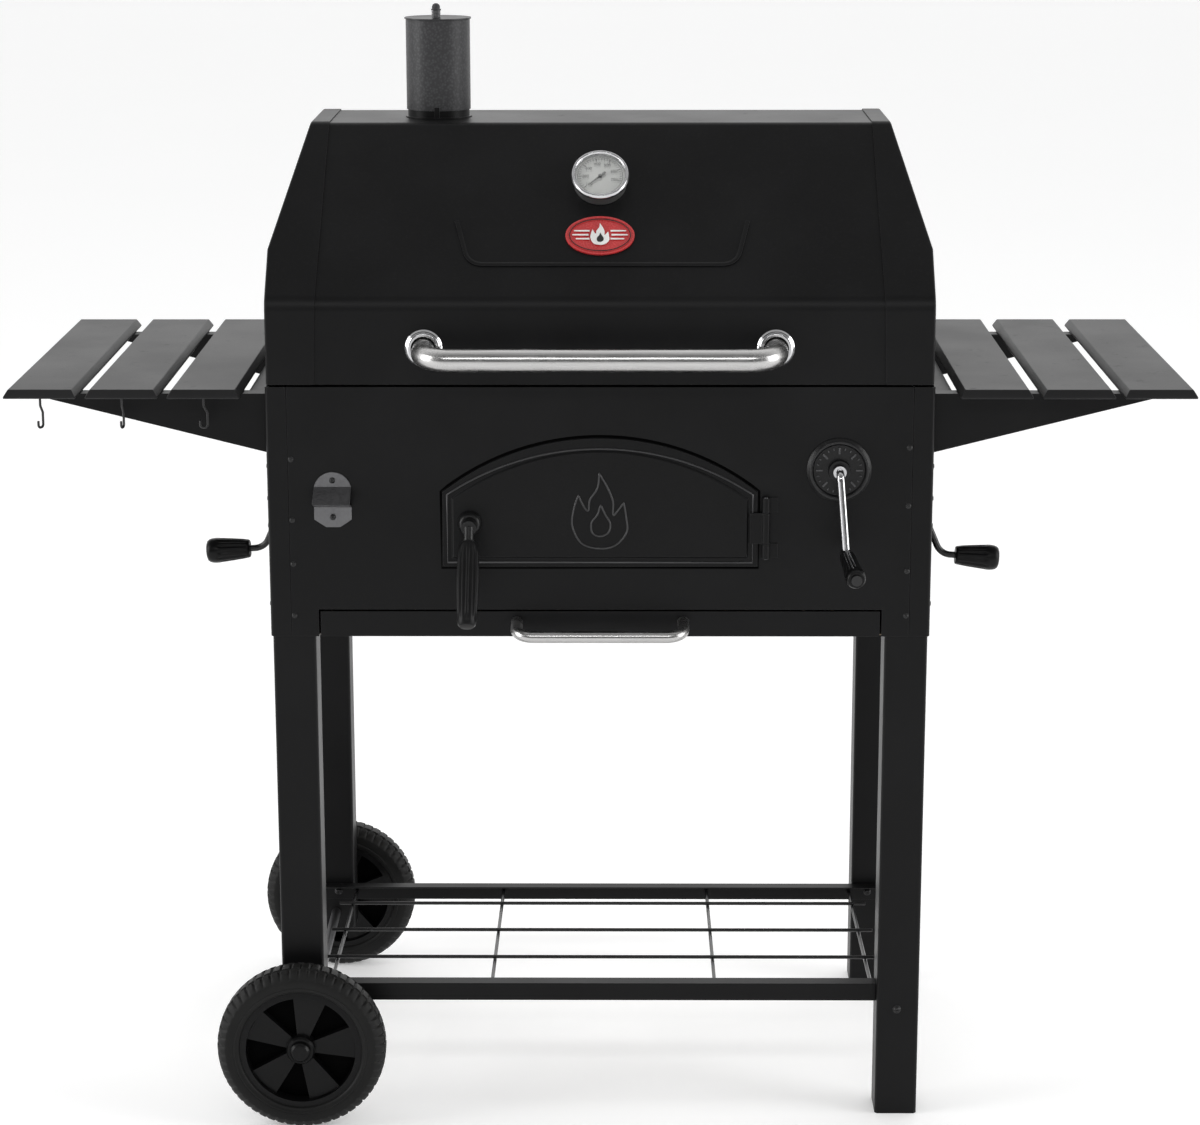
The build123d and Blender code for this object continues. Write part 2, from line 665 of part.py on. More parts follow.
def side_damper(side):
    """Disc with three air holes on the side panel, its pivot and its bent lever."""
    face = BODY_HALF + 0.3
    disc = rod((face, MID_Y, DAMPER_Z), (1, 0, 0), DAMPER_R, SHEET)
    for hole in damper_holes(face - 1, face + 4, turn=30):
        disc -= hole
    disc += rod((BODY_HALF - 6, MID_Y, DAMPER_Z), (1, 0, 0), 4, 10)
    disc += rod((BODY_HALF - 8, MID_Y, DAMPER_Z), (1, 0, 0), 9, 4)
    disc += rod((face, MID_Y, DAMPER_Z), (1, 0, 0), 9, 9)
    disc += bent_rod([(BODY_HALF + 6, MID_Y, DAMPER_Z), LEVER_ELBOW, LEVER_ELBOW + LEVER_SLANT * 57],
                     4, 20)
    return placed_damper(disc, side)


def side_damper_grip(side):
    profile = [(4, 0), (10.5, 0), (11.5, 2), (15.5, 39), (15, 47), (12, 52), (0, 54), (0, 39), (4, 39)]
    return placed_damper(turned(profile, LEVER_ELBOW + LEVER_SLANT * 18, LEVER_SLANT), side)


# ---- lid ----
def lid_profile(inset, floor):
    """Lid cross-section in (Y, Z), moved in by a sheet's thickness; its back slope is the steeper."""
    rise = LID_TOP - LID_CREASE
    front = math.tan(math.atan2(rise, LID_SLOPE_RUN) / 2)
    back = math.tan(math.atan2(rise, LID_BACK_RUN) / 2)
    low, high = -LID_PROUD, BODY_DEPTH + LID_PROUD
    points = [(low + inset, floor), (low + inset, LID_CREASE - inset * front),
              (low + LID_SLOPE_RUN + inset * front, LID_TOP - inset),
              (high - LID_BACK_RUN - inset * back, LID_TOP - inset),
              (high - inset, LID_CREASE - inset * back), (high - inset, floor)]
    face = outline(points)
    for height, radius in ((LID_CREASE, LID_CREASE_R), (LID_TOP, LID_TOP_R)):
        bends = [v for v in face.vertices() if abs(v.Y - height) < 2 * SHEET + 1]
        face = fillet(bends, radius - inset)
    return face


SLOPE_ANGLE = math.atan2(LID_TOP - LID_CREASE, LID_SLOPE_RUN)
SLOPE_NORMAL = (0, -math.sin(SLOPE_ANGLE), math.cos(SLOPE_ANGLE))


def on_slope(up_slope, proud):
    """Point on the lid's front slope: distance above the crease, and out from the sheet."""
    height = proud - SHEET
    y = -LID_PROUD + up_slope * math.cos(SLOPE_ANGLE) - height * math.sin(SLOPE_ANGLE)
    z = LID_CREASE + up_slope * math.sin(SLOPE_ANGLE) + height * math.cos(SLOPE_ANGLE)
    return (0, y, z)


def slope_plane(up_slope, proud):
    return Plane(origin=on_slope(up_slope, proud), x_dir=(1, 0, 0), z_dir=SLOPE_NORMAL)


THERMOMETER_UP = 165.0
BADGE_UP = 92.0


def lid_shell():
    """Main lid sheet, folded over front, slopes, top and back, under the ends' flanges."""
    reach = LID_SHOULDER - 6
    shell = along_x(lid_profile(SHEET, LID_BOTTOM), -reach, reach)
    shell -= along_x(lid_profile(2 * SHEET, LID_BOTTOM - 10), -reach - 1, reach + 1)
    shell -= rod((STACK_X, STACK_Y, LID_TOP - 10), (0, 0, 1), STACK_R - 3, 20)
    stem = slope_plane(THERMOMETER_UP, -5)
    return shell - rod(stem.origin, stem.z_dir, 4.2, 10)


def end_shape(inset, seam):
    """Front view of the right lid end in (X, Z)."""
    lean = (LID_END - LID_SHOULDER) / (LID_TOP - LID_KINK)
    above = LID_TOP + 10
    tip = LID_SHOULDER - lean * 10 - inset
    return outline([(seam[0], LID_BOTTOM - 20), (LID_END - inset, LID_BOTTOM - 20),
                    (LID_END - inset, LID_KINK - inset * lean / 2), (tip, above), (seam[1], above)])


def lid_end(side):
    """Pressed end cap: a side wall that leans in near the top, and a flange over the sheet."""
    outer = along_x(lid_profile(0, LID_BOTTOM), LID_SEAM[1] - 5, LID_END + 5)
    outer &= along_y(end_shape(0, LID_SEAM), -20, BODY_DEPTH + 20)
    rim = [edge for edge in outer.edges()
           if edge.center().X > LID_SHOULDER - 4 and edge.center().Z > LID_BOTTOM + 5
           and edge.bounding_box().size.Y > 0.5 and edge.center().X < LID_END + 1]
    try:
        outer = fillet(rim, 3)
    except (ValueError, RuntimeError):
        print("lid end edges left sharp")
    inner = along_x(lid_profile(SHEET, LID_BOTTOM - 10), 200, LID_END + 5)
    inner &= along_y(end_shape(SHEET, (200, 200)), -20, BODY_DEPTH + 20)
    cap = outer - inner
    return cap if side > 0 else mirror(cap, about=Plane.YZ)


def lid_handle():
    """Bent tube standing off the front band."""
    points = [(-HANDLE_HALF, 8, 933), (-HANDLE_HALF, -60, 928), (HANDLE_HALF, -60, 928),
              (HANDLE_HALF, 8, 933)]
    tube = bent_rod(points, HANDLE_R, 34) - bent_rod(points, HANDLE_R - 2, 34)
    return tube & block((-250, 250), (-90, -LID_PROUD + SHEET), (880, 980))


def handle_rosettes():
    profile = [(14.2, 0), (21.5, 0), (21.5, 2), (19.2, 4), (19.2, 8), (17, 9.5), (14.2, 9.5)]
    return [turned(profile, (side * HANDLE_HALF, -LID_PROUD + SHEET, 932.3), (0, -1, 0)) for side in (-1, 1)]


def smokestack():
    """Round flue on a narrower collar, with the lug inside its rim for the damper's pin."""
    seat = LID_TOP - SHEET
    collar_top = seat + STACK_COLLAR
    stack = rod((STACK_X, STACK_Y, collar_top), (0, 0, 1), STACK_R, STACK_TOP - collar_top)
    stack += rod((STACK_X, STACK_Y, seat), (0, 0, 1), STACK_R - 1.5, STACK_COLLAR)
    stack += rod((STACK_X, STACK_Y, seat), (0, 0, 1), STACK_R + 1.5, 1.2)
    stack += block((STACK_X - 3, STACK_X + 3), (STACK_Y - STACK_R - 1.2, STACK_Y), (seat, collar_top + 5))
    stack -= rod((STACK_X, STACK_Y, seat - 1), (0, 0, 1), STACK_R - 3, 130)
    stack += (rod((STACK_X, STACK_PIN_Y, STACK_TOP - 18), (0, 0, 1), 4.5, 18)
              + block((STACK_X - 4.5, STACK_X + 4.5), (STACK_Y - STACK_R + 1, STACK_PIN_Y),
                      (STACK_TOP - 18, STACK_TOP)))
    return stack - rod((STACK_X, STACK_PIN_Y, STACK_TOP - 20), (0, 0, 1), 2 + RUNNING, 24)


def stack_damper():
    """Flat disc that swings aside on a pin near its front edge, with a domed nut on top."""
    z = STACK_TOP + 0.5
    damper = rod((STACK_X, STACK_Y, z), (0, 0, 1), STACK_R + 1.5, SHEET)
    profile = [(0, -20), (2, -20), (2, 0), (4.5, 0), (4.5, 1.5), (3.7, 3), (3.7, 11), (6, 11.5), (6, 12.8),
               (4.6, 13.2), (4.9, 15.5), (3.8, 18.2), (1.6, 19.5), (0, 19.5)]
    return damper + turned(profile, (STACK_X, STACK_PIN_Y, z), (0, 0, 1))


def lid_badge():
    """Oval plate with a raised rim."""
    plane = slope_plane(BADGE_UP, 0)
    plate = extrude(plane * Ellipse(39.5, 26.5), amount=2.5)
    return plate - extrude(plane.offset(1.7) * Ellipse(37, 24), amount=2)


DIAL_HEIGHT = 13.5          # dial face above the lid's sheet


def thermometer_case():
    """Round case with bezel and stem."""
    plane = slope_plane(THERMOMETER_UP, 0)
    profile = [(0, -60), (4, -60), (4, 0), (29, 0), (30.5, 2.5), (30.5, 14.5), (33.4, 16), (33.8, 19),
               (32, 22), (29.8, 22), (28.6, 20), (28.6, DIAL_HEIGHT), (0, DIAL_HEIGHT)]
    return turned(profile, plane.origin, plane.z_dir)


def thermometer_dial():
    plane = slope_plane(THERMOMETER_UP, DIAL_HEIGHT)
    return (rod(plane.origin, plane.z_dir, 28.5, 0.8)
            - rod(plane.offset(-1).origin, plane.z_dir, 1 + RUNNING, 4))


def thermometer_needle():
    """Pointer on a small arbor, resting towards the lower left."""
    plane = slope_plane(THERMOMETER_UP, DIAL_HEIGHT + 0.1)
    flat = outline([(8, -1.3), (8, 1.3), (-16, 0.4), (-16, -0.4)])
    pointer = extrude(plane.offset(1.5) * (Rot(0, 0, 42) * flat), amount=0.7)
    pointer += rod(plane.origin, plane.z_dir, 1, 2)
    return pointer + rod(plane.offset(1.2).origin, plane.z_dir, 2.4, 1.4)


def thermometer_lens():
    plane = slope_plane(THERMOMETER_UP, DIAL_HEIGHT + 5)
    return rod(plane.origin, plane.z_dir, 28.5, 1.2)


def lid_hinge_body_leaves():
    leaves = []
    for x in HINGE_X:
        leaf = block((x - 30, x + 30), (BODY_DEPTH, BODY_DEPTH + 2), (850, 884))
        for low in (x - 30, x + 15):
            leaf += block((low, low + 15), (BODY_DEPTH, HINGE_Y), (HINGE_Z - 5, HINGE_Z - 3))
            leaf += rod((low, HINGE_Y, HINGE_Z), (1, 0, 0), 5, 15)
        leaf -= block((x - 14.6, x + 14.6), (BODY_DEPTH + 2, HINGE_Y + 6), (850, 900))
        leaves.append(leaf - rod((x - 31, HINGE_Y, HINGE_Z), (1, 0, 0), 2.5, 62))
    return leaves


def lid_hinge_lid_leaves():
    band = BODY_DEPTH + LID_PROUD - SHEET
    leaves = []
    for x in HINGE_X:
        leaf = block((x - 28, x + 28), (band, band + 2), (894, 930))
        leaf += block((x - 14.3, x + 14.3), (band, band + 2), (HINGE_Z + 3, 895))
        leaf += block((x - 14.3, x + 14.3), (band, HINGE_Y), (HINGE_Z + 3, HINGE_Z + 5))
        leaf += rod((x - 14.3, HINGE_Y, HINGE_Z), (1, 0, 0), 5, 28.6)
        leaves.append(leaf - rod((x - 31, HINGE_Y, HINGE_Z), (1, 0, 0), 2.5 + RUNNING, 62))
    return leaves


def hinge_pins():
    pins = [rod((x - 31, HINGE_Y, HINGE_Z), (1, 0, 0), 2.5, 62) for x in HINGE_X]
    return pins + [rod((*DOOR_HINGE, 687), (0, 0, 1), 2, 73)]


def main():
    os.makedirs("parts", exist_ok=True)
    write("front_panel", front_panel())
    write("back_panel", back_panel())
    write("grate_ledges", *grate_ledges())
    write("cooking_grates", *cooking_grates())
    write("drawer_runners", *drawer_runners())
    write("leg_caps", *leg_caps())
    write("axle", axle())
    write("axle_caps", *axle_caps())
    write("rack_rails", *rack_rails())
    write("rack_long_wires", *rack_long_wires())
    write("rack_cross_wires", *rack_cross_wires())
    write("shelf_brackets", *shelf_brackets())
    write("tool_hooks", *tool_hooks())
    write("bottle_opener", bottle_opener())
    write("fasteners", *fasteners())
    write("hinge_pins", *hinge_pins())
    for side in (-1, 1):
        name = side_name(side)
        write(f"side_panel_{name}", side_panel(side))
        write(f"shelf_slats_{name}", *slats(side))
        write(f"side_damper_{name}", side_damper(side))
        write(f"side_damper_grip_{name}", side_damper_grip(side))
        write(f"lid_end_{name}", lid_end(side))
        for row in ("front", "rear"):
            write(f"leg_{row}_{name}", leg(side, row))
    for row, y, outward in (("front", WHEEL_Y[0], -1), ("rear", WHEEL_Y[1], 1)):
        write(f"wheel_tyre_{row}", tyre(y))
        write(f"wheel_hub_{row}", hub(y, outward))

    write("crank_dial", crank_dial())
    write("crank_arm", crank_arm())
    write("crank_grip", crank_grip())
    write("lift_shaft", lift_shaft())
    write("lift_guides", *lift_guides())
    write("charcoal_tray", charcoal_tray())
    write("ash_pan", ash_pan())
    write("ash_pan_front", ash_pan_front())
    write("ash_pan_handle", ash_pan_handle())
    write("door_panel", door_panel())
    write("door_hinge_knuckles", *door_hinge_knuckles())
    write("latch_boss", latch_boss())
    write("latch_handle", latch_handle())
    write("latch_grip", latch_grip())

    write("lid_shell", lid_shell())
    write("lid_handle", lid_handle())
    write("handle_rosettes", *handle_rosettes())
    write("smokestack", smokestack())
    write("stack_damper", stack_damper())
    write("lid_badge", lid_badge())
    write("thermometer_case", thermometer_case())
    write("thermometer_dial", thermometer_dial())
    write("thermometer_needle", thermometer_needle())
    write("thermometer_lens", thermometer_lens())
    write("lid_hinge_body_leaves", *lid_hinge_body_leaves())
    write("lid_hinge_lid_leaves", *lid_hinge_lid_leaves())


main()
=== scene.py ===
import json
import math

import bmesh
import bpy
import numpy as np
from mathutils import Matrix, Vector


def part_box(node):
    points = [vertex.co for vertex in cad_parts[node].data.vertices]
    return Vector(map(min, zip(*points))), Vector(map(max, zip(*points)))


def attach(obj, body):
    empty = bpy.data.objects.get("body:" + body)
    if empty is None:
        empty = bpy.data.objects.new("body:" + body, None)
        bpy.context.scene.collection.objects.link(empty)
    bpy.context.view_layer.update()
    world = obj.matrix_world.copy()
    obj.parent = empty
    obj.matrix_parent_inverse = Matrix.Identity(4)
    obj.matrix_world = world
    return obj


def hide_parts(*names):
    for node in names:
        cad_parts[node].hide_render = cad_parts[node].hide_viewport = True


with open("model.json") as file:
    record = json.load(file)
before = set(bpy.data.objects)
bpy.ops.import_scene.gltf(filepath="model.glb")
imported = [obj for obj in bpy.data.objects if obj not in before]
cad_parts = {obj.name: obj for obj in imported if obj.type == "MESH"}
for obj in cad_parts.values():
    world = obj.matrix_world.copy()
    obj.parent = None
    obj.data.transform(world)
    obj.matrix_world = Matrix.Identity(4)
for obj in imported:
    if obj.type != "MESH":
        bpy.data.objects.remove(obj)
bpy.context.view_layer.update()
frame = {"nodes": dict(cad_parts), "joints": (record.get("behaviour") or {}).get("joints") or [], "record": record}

MM = 0.001
RECORD = frame["record"]
NODES = frame["nodes"]
NODE_BODY = {node: body for body, members in RECORD["behaviour"]["bodies"].items() for node in members}
NODE_SLOT = {part["node"]: part["material_slot"] for part in RECORD["subparts"]}
JOINTS = {joint["name"]: joint for joint in frame["joints"]}
ACROSS = Vector((1, 0, 0))
BACK = Vector((0, 1, 0))
FRONT_SKY, REAR_SKY = 0.16, 1.3
SKY_REACH = 0.8
BOX_POWER, STRIP_POWER = 225, 30
LIGHT_TARGET, STRIP_TARGET = (0, 0, 0.9), (0, 0, 0.8)
CAMERA_PLACE = (0.0254, -3.664, 1.5322)
CAMERA_PITCH, CAMERA_YAW, CAMERA_ROLL = 13.79, 0.4206, -0.0698
CAMERA_LENS, CAMERA_SENSOR = 93.02, 36.0


# ---- camera, light, floor ----

def add_camera():
    """The view from in front and a little above."""
    lens = bpy.data.cameras.new("view")
    lens.lens = CAMERA_LENS
    lens.sensor_width = CAMERA_SENSOR
    lens.clip_end = 200.0
    camera = bpy.data.objects.new("view", lens)
    bpy.context.scene.collection.objects.link(camera)
    turn = (Matrix.Rotation(math.radians(CAMERA_YAW), 4, "Z")
            @ Matrix.Rotation(math.radians(90 - CAMERA_PITCH), 4, "X")
            @ Matrix.Rotation(math.radians(CAMERA_ROLL), 4, "Z"))
    camera.matrix_world = Matrix.Translation(CAMERA_PLACE) @ turn
    bpy.context.scene.camera = camera


def add_soft_light(name, place, target, size, power):
    """A large rectangular lamp that faces the target."""
    lamp = bpy.data.lights.new(name, "AREA")
    lamp.shape = "RECTANGLE"
    lamp.size, lamp.size_y = size
    lamp.energy = power
    light = bpy.data.objects.new(name, lamp)
    bpy.context.scene.collection.objects.link(light)
    light.location = place
    light.rotation_euler = (Vector(target) - Vector(place)).to_track_quat("-Z", "Y").to_euler()


def add_lights():
    """Two large boxes at the sides and a long strip above the viewer."""
    for name, side in (("left_box", -1), ("right_box", 1)):
        add_soft_light(name, (side * 6.4, -1.6, 2.3), LIGHT_TARGET, (3.2, 4.4), BOX_POWER)
    add_soft_light("front_strip", (0, -3.4, 2.9), STRIP_TARGET, (3.4, 0.35), STRIP_POWER)


def add_world():
    """Pale studio surroundings: bright behind the object, dimmer on the viewer's side."""
    world = bpy.data.worlds.new("studio")
    bpy.context.scene.world = world
    world.use_nodes = True
    tree = world.node_tree
    direction = tree.nodes.new("ShaderNodeTexCoord").outputs["Generated"]
    parts = tree.nodes.new("ShaderNodeSeparateXYZ")
    tree.links.new(direction, parts.inputs[0])
    span = tree.nodes.new("ShaderNodeMapRange")
    span.interpolation_type = "SMOOTHSTEP"
    for socket, number in (("From Min", -SKY_REACH), ("From Max", SKY_REACH),
                           ("To Min", FRONT_SKY), ("To Max", REAR_SKY)):
        span.inputs[socket].default_value = number
    tree.links.new(parts.outputs["Y"], span.inputs["Value"])
    tree.links.new(span.outputs["Result"], tree.nodes["Background"].inputs["Strength"])
    tree.nodes["Background"].inputs["Color"].default_value = (1.0, 1.0, 1.0, 1.0)


# ---- materials ----

class Shader:
    """A Principled material and short calls for the procedural nodes that feed it."""

    def __init__(self, name, color, **sockets):
        self.material = bpy.data.materials.new(name)
        self.material.use_nodes = True
        self.tree = self.material.node_tree
        self.bsdf = self.tree.nodes["Principled BSDF"]
        self.color = (*color, 1.0)
        self.bsdf.inputs["Base Color"].default_value = self.color
        self.material.diffuse_color = self.color
        for socket, value in sockets.items():
            self.bsdf.inputs[socket.replace("_", " ").title().replace("Ior", "IOR")].default_value = value
        self.coords = self.tree.nodes.new("ShaderNodeTexCoord").outputs["Object"]
        self.normal = None

    def node(self, kind, **inputs):
        node = self.tree.nodes.new(kind)
        for socket, value in inputs.items():
            self.put(node.inputs[socket.replace("_", " ").title()], value)
        return node

    def put(self, socket, value):
        if isinstance(value, bpy.types.NodeSocket):
            self.tree.links.new(value, socket)
        else:
            socket.default_value = value

    def stretched(self, x, y, z):
        """Coordinates squeezed per axis, for a grain that runs along one of them."""
        mapping = self.node("ShaderNodeMapping", vector=self.coords, scale=(x, y, z))
        return mapping.outputs["Vector"]

    def noise(self, scale, detail=3.0, roughness=0.55, distortion=0.0, coords=None):
        noise = self.node("ShaderNodeTexNoise", vector=coords or self.coords, scale=scale,
                          detail=detail, roughness=roughness, distortion=distortion)
        return noise.outputs["Fac"]

    def cells(self, scale, smooth=0.3, coords=None):
        cells = self.tree.nodes.new("ShaderNodeTexVoronoi")
        cells.feature = "SMOOTH_F1"
        self.put(cells.inputs["Vector"], coords or self.coords)
        cells.inputs["Scale"].default_value = scale
        cells.inputs["Smoothness"].default_value = smooth
        return cells.outputs["Distance"]

    def span(self, value, low, high, to_low=0.0, to_high=1.0):
        """value from low..high taken to to_low..to_high, held at both ends."""
        span = self.node("ShaderNodeMapRange", value=value)
        span.interpolation_type = "SMOOTHSTEP"
        for socket, number in zip(("From Min", "From Max", "To Min", "To Max"),
                                  (low, high, to_low, to_high)):
            span.inputs[socket].default_value = number
        return span.outputs["Result"]

    def calc(self, operation, first, second):
        node = self.tree.nodes.new("ShaderNodeMath")
        node.operation = operation
        self.put(node.inputs[0], first)
        self.put(node.inputs[1], second)
        return node.outputs[0]

    def mix(self, factor, first, second):
        node = self.tree.nodes.new("ShaderNodeMix")
        node.data_type = "RGBA"
        self.put(node.inputs["Factor"], factor)
        for socket, value in ((node.inputs[6], first), (node.inputs[7], second)):
            self.put(socket, value if isinstance(value, bpy.types.NodeSocket) else (*value[:3], 1.0))
        return node.outputs[2]

    def edges(self, radius):
        """1 along outer and inner edges, 0 on open faces."""
        rounded = self.node("ShaderNodeBevel", radius=radius * MM)
        rounded.samples = 4
        geometry = self.tree.nodes.new("ShaderNodeNewGeometry")
        dot = self.tree.nodes.new("ShaderNodeVectorMath")
        dot.operation = "DOT_PRODUCT"
        self.put(dot.inputs[0], rounded.outputs["Normal"])
        self.put(dot.inputs[1], geometry.outputs["True Normal"])
        return self.span(dot.outputs["Value"], 0.99, 0.86)

    def facing_up(self):
        """1 on faces that look upwards, where dust settles."""
        geometry = self.tree.nodes.new("ShaderNodeNewGeometry")
        parts = self.node("ShaderNodeSeparateXYZ")
        self.put(parts.inputs[0], geometry.outputs["Normal"])
        return self.span(parts.outputs["Z"], 0.55, 0.95)

    def bump(self, height, depth, strength=1.0):
        """Adds relief of the given depth in millimetres."""
        bump = self.node("ShaderNodeBump", height=height, strength=strength, distance=depth * MM)
        if self.normal:
            self.put(bump.inputs["Normal"], self.normal)
        self.normal = bump.outputs["Normal"]
        self.put(self.bsdf.inputs["Normal"], self.normal)

    def tint(self, value):
        self.put(self.bsdf.inputs["Base Color"], value)

    def roughen(self, value):
        self.put(self.bsdf.inputs["Roughness"], value)


def painted(name, color, rough, specular, grain, relief, wear_and_highlight=0.5, dust=0.012):
    """Baked paint on metal: orange peel, faint dust, and paler edges that are partly wear and partly a painted
    highlight.
    """
    paint = Shader(name, color, specular_ior_level=specular)
    peel = paint.noise(1000.0 / grain, detail=2.0)
    cloud = paint.noise(7.0, detail=4.0)
    scuffs = paint.span(paint.noise(46.0, 6.0, 0.7, coords=paint.stretched(1.0, 1.0, 0.35)), 0.6, 0.74)
    # paler edges: partly paint wear, partly a painted highlight along the bevels
    edge = paint.calc("MULTIPLY", paint.edges(1.4), paint.span(cloud, 0.3, 0.6, 0.4, 1.0))
    pale = tuple(c * 3.2 + 0.02 for c in color)
    dusty = tuple(c + dust for c in color)
    tone = paint.mix(paint.span(cloud, 0.35, 0.7), tuple(c * 0.85 for c in color),
                     tuple(c * 1.2 for c in color))
    settled = paint.calc("MULTIPLY", paint.facing_up(), paint.span(paint.noise(260.0, 5.0, 0.7), 0.5, 0.75))
    tone = paint.mix(settled, tone, dusty)
    paint.tint(paint.mix(paint.calc("MULTIPLY", edge, wear_and_highlight), tone, pale))
    uneven = paint.span(cloud, 0.3, 0.7, rough - 0.02, rough + 0.03)
    paint.roughen(paint.calc("ADD", uneven, paint.calc("MULTIPLY", scuffs, 0.1)))
    paint.bump(peel, relief)
    return paint


def textured(name, color, rough, specular, grain, relief):
    """Cast or crackle-finished metal with a coarse pebbled skin, and paler edges that are a painted highlight."""
    metal = Shader(name, color, specular_ior_level=specular)
    pebble = metal.cells(1000.0 / grain)
    pits = metal.noise(2600.0 / grain, 4.0, 0.7)
    cloud = metal.noise(11.0, 4.0)
    # paler edges: a painted highlight along the bevels
    edge = metal.calc("MULTIPLY", metal.edges(1.2), metal.span(cloud, 0.3, 0.65, 0.3, 0.8))
    tone = metal.mix(metal.span(pebble, 0.1, 0.6), tuple(c * 1.3 for c in color),
                     tuple(c * 0.7 for c in color))
    metal.tint(metal.mix(edge, tone, tuple(c * 3.0 + 0.024 for c in color)))
    metal.roughen(metal.span(cloud, 0.3, 0.7, rough - 0.05, rough + 0.06))
    metal.bump(pebble, relief)
    metal.bump(pits, relief * 0.4)
    return metal


def brushed(name, color, rough, along, anisotropic=0.0, smudge=0.08):
    """Bare metal with fine lines along one axis, and faint finger smudges."""
    metal = Shader(name, color, metallic=1.0, anisotropic=anisotropic)
    squeeze = [1.0 if axis != along else 0.012 for axis in "XYZ"]
    lines = metal.noise(1900.0, 3.0, 0.6, coords=metal.stretched(*squeeze))
    smear = metal.span(metal.noise(24.0, 3.0, 0.6, 0.4), 0.45, 0.7)
    metal.tint(metal.mix(metal.span(lines, 0.3, 0.7), tuple(c * 0.86 for c in color),
                         tuple(min(1.0, c * 1.08) for c in color)))
    fine = metal.span(lines, 0.25, 0.75, rough - 0.06, rough + 0.08)
    metal.roughen(metal.calc("ADD", fine, metal.calc("MULTIPLY", smear, smudge)))
    metal.bump(lines, 0.004)
    return metal


def plated(name, color, rough, spangle):
    """Chrome or zinc plate: nearly smooth, with hairline scratches and dull patches."""
    metal = Shader(name, color, metallic=1.0)
    hairs = metal.noise(900.0, 2.0, 0.5, 1.5, coords=metal.stretched(1.0, 0.25, 1.0))
    patch = metal.span(metal.noise(30.0, 4.0), 0.4, 0.7)
    grain = metal.cells(1000.0 / spangle, 0.1)
    metal.tint(metal.mix(metal.calc("MULTIPLY", patch, 0.3), color, tuple(c * 0.82 for c in color)))
    dull = metal.calc("ADD", metal.calc("MULTIPLY", patch, 0.07),
                      metal.calc("MULTIPLY", metal.span(hairs, 0.6, 0.75), 0.12))
    metal.roughen(metal.calc("ADD", dull, metal.span(grain, 0.1, 0.7, rough, rough * 1.5)))
    metal.bump(hairs, 0.008)
    return metal


def moulded(name, color, rough, grain, relief, specular=0.4, dust=0.02):
    """Moulded plastic or rubber: fine pebble grain, paler rubbed edges, dust in patches."""
    plastic = Shader(name, color, specular_ior_level=specular)
    skin = plastic.noise(1000.0 / grain, 3.0, 0.6)
    cloud = plastic.noise(18.0, 4.0)
    edge = plastic.calc("MULTIPLY", plastic.edges(1.0), 0.45)
    powder = plastic.span(plastic.noise(120.0, 6.0, 0.75), 0.52, 0.8)
    tone = plastic.mix(plastic.span(cloud, 0.3, 0.7), tuple(c * 0.8 for c in color),
                       tuple(c * 1.25 for c in color))
    tone = plastic.mix(plastic.calc("MULTIPLY", powder, 0.5), tone, tuple(c + dust for c in color))
    plastic.tint(plastic.mix(edge, tone, tuple(c * 2.4 + 0.01 for c in color)))
    plastic.roughen(plastic.span(cloud, 0.3, 0.7, rough - 0.05, rough + 0.08))
    plastic.bump(skin, relief)
    return plastic


def hammered(name, color):
    """Hammer-finish enamel: shallow round dimples in a metallic dark grey."""
    metal = Shader(name, color, metallic=0.08, specular_ior_level=0.2)
    dimples = metal.cells(330.0, 0.6)
    cloud = metal.noise(12.0, 4.0)
    tone = metal.mix(metal.span(dimples, 0.1, 0.65), tuple(c * 1.25 for c in color),
                     tuple(c * 0.8 for c in color))
    metal.tint(metal.mix(metal.calc("MULTIPLY", metal.edges(0.8), 0.3), tone,
                         tuple(c * 2.0 for c in color)))
    metal.roughen(metal.span(cloud, 0.3, 0.7, 0.4, 0.46))
    metal.bump(dimples, 0.12)
    metal.bump(metal.noise(1500.0, 2.0), 0.02)
    return metal


def heated_steel(name, color):
    """Uncoated sheet inside the fire: straw and blue tints, grey ash and a dull rolled skin."""
    metal = Shader(name, color, metallic=0.85)
    tint = metal.noise(9.0, 5.0, 0.6, 0.6)
    straw = metal.mix(metal.span(tint, 0.45, 0.62), color, (0.30, 0.21, 0.12))
    blue = metal.mix(metal.span(tint, 0.6, 0.72), straw, (0.10, 0.12, 0.17))
    ash = metal.calc("MULTIPLY", metal.facing_up(), metal.span(metal.noise(60.0, 6.0, 0.7), 0.45, 0.62))
    metal.tint(metal.mix(ash, blue, (0.34, 0.33, 0.32)))
    metal.roughen(metal.span(metal.noise(30.0, 5.0), 0.3, 0.7, 0.36, 0.62))
    metal.bump(metal.noise(700.0, 4.0), 0.05)
    return metal


def seasoned_iron(name, color):
    """Oiled cast iron, gritty and a little rusty."""
    metal = Shader(name, color, specular_ior_level=0.5)
    grit = metal.noise(900.0, 5.0, 0.7)
    oil = metal.noise(26.0, 4.0)
    rust = metal.span(metal.noise(70.0, 6.0, 0.7), 0.62, 0.78)
    tone = metal.mix(metal.span(oil, 0.3, 0.7), tuple(c * 0.7 for c in color),
                     tuple(c * 1.5 for c in color))
    metal.tint(metal.mix(metal.calc("MULTIPLY", rust, 0.5), tone, (0.10, 0.045, 0.02)))
    metal.roughen(metal.span(oil, 0.3, 0.7, 0.45, 0.72))
    metal.bump(grit, 0.25)
    return metal


def enamel(name, color, rough=0.22, coat=0.6):
    """Glossy printed or fired colour under a clear coat."""
    face = Shader(name, color, coat_weight=coat, coat_roughness=0.08)
    speck = face.noise(700.0, 4.0, 0.6)
    cloud = face.noise(40.0, 3.0)
    face.tint(face.mix(face.span(cloud, 0.3, 0.7), tuple(c * 0.9 for c in color),
                       tuple(min(1.0, c * 1.06) for c in color)))
    face.roughen(face.span(speck, 0.3, 0.7, rough - 0.04, rough + 0.1))
    face.bump(speck, 0.01)
    return face


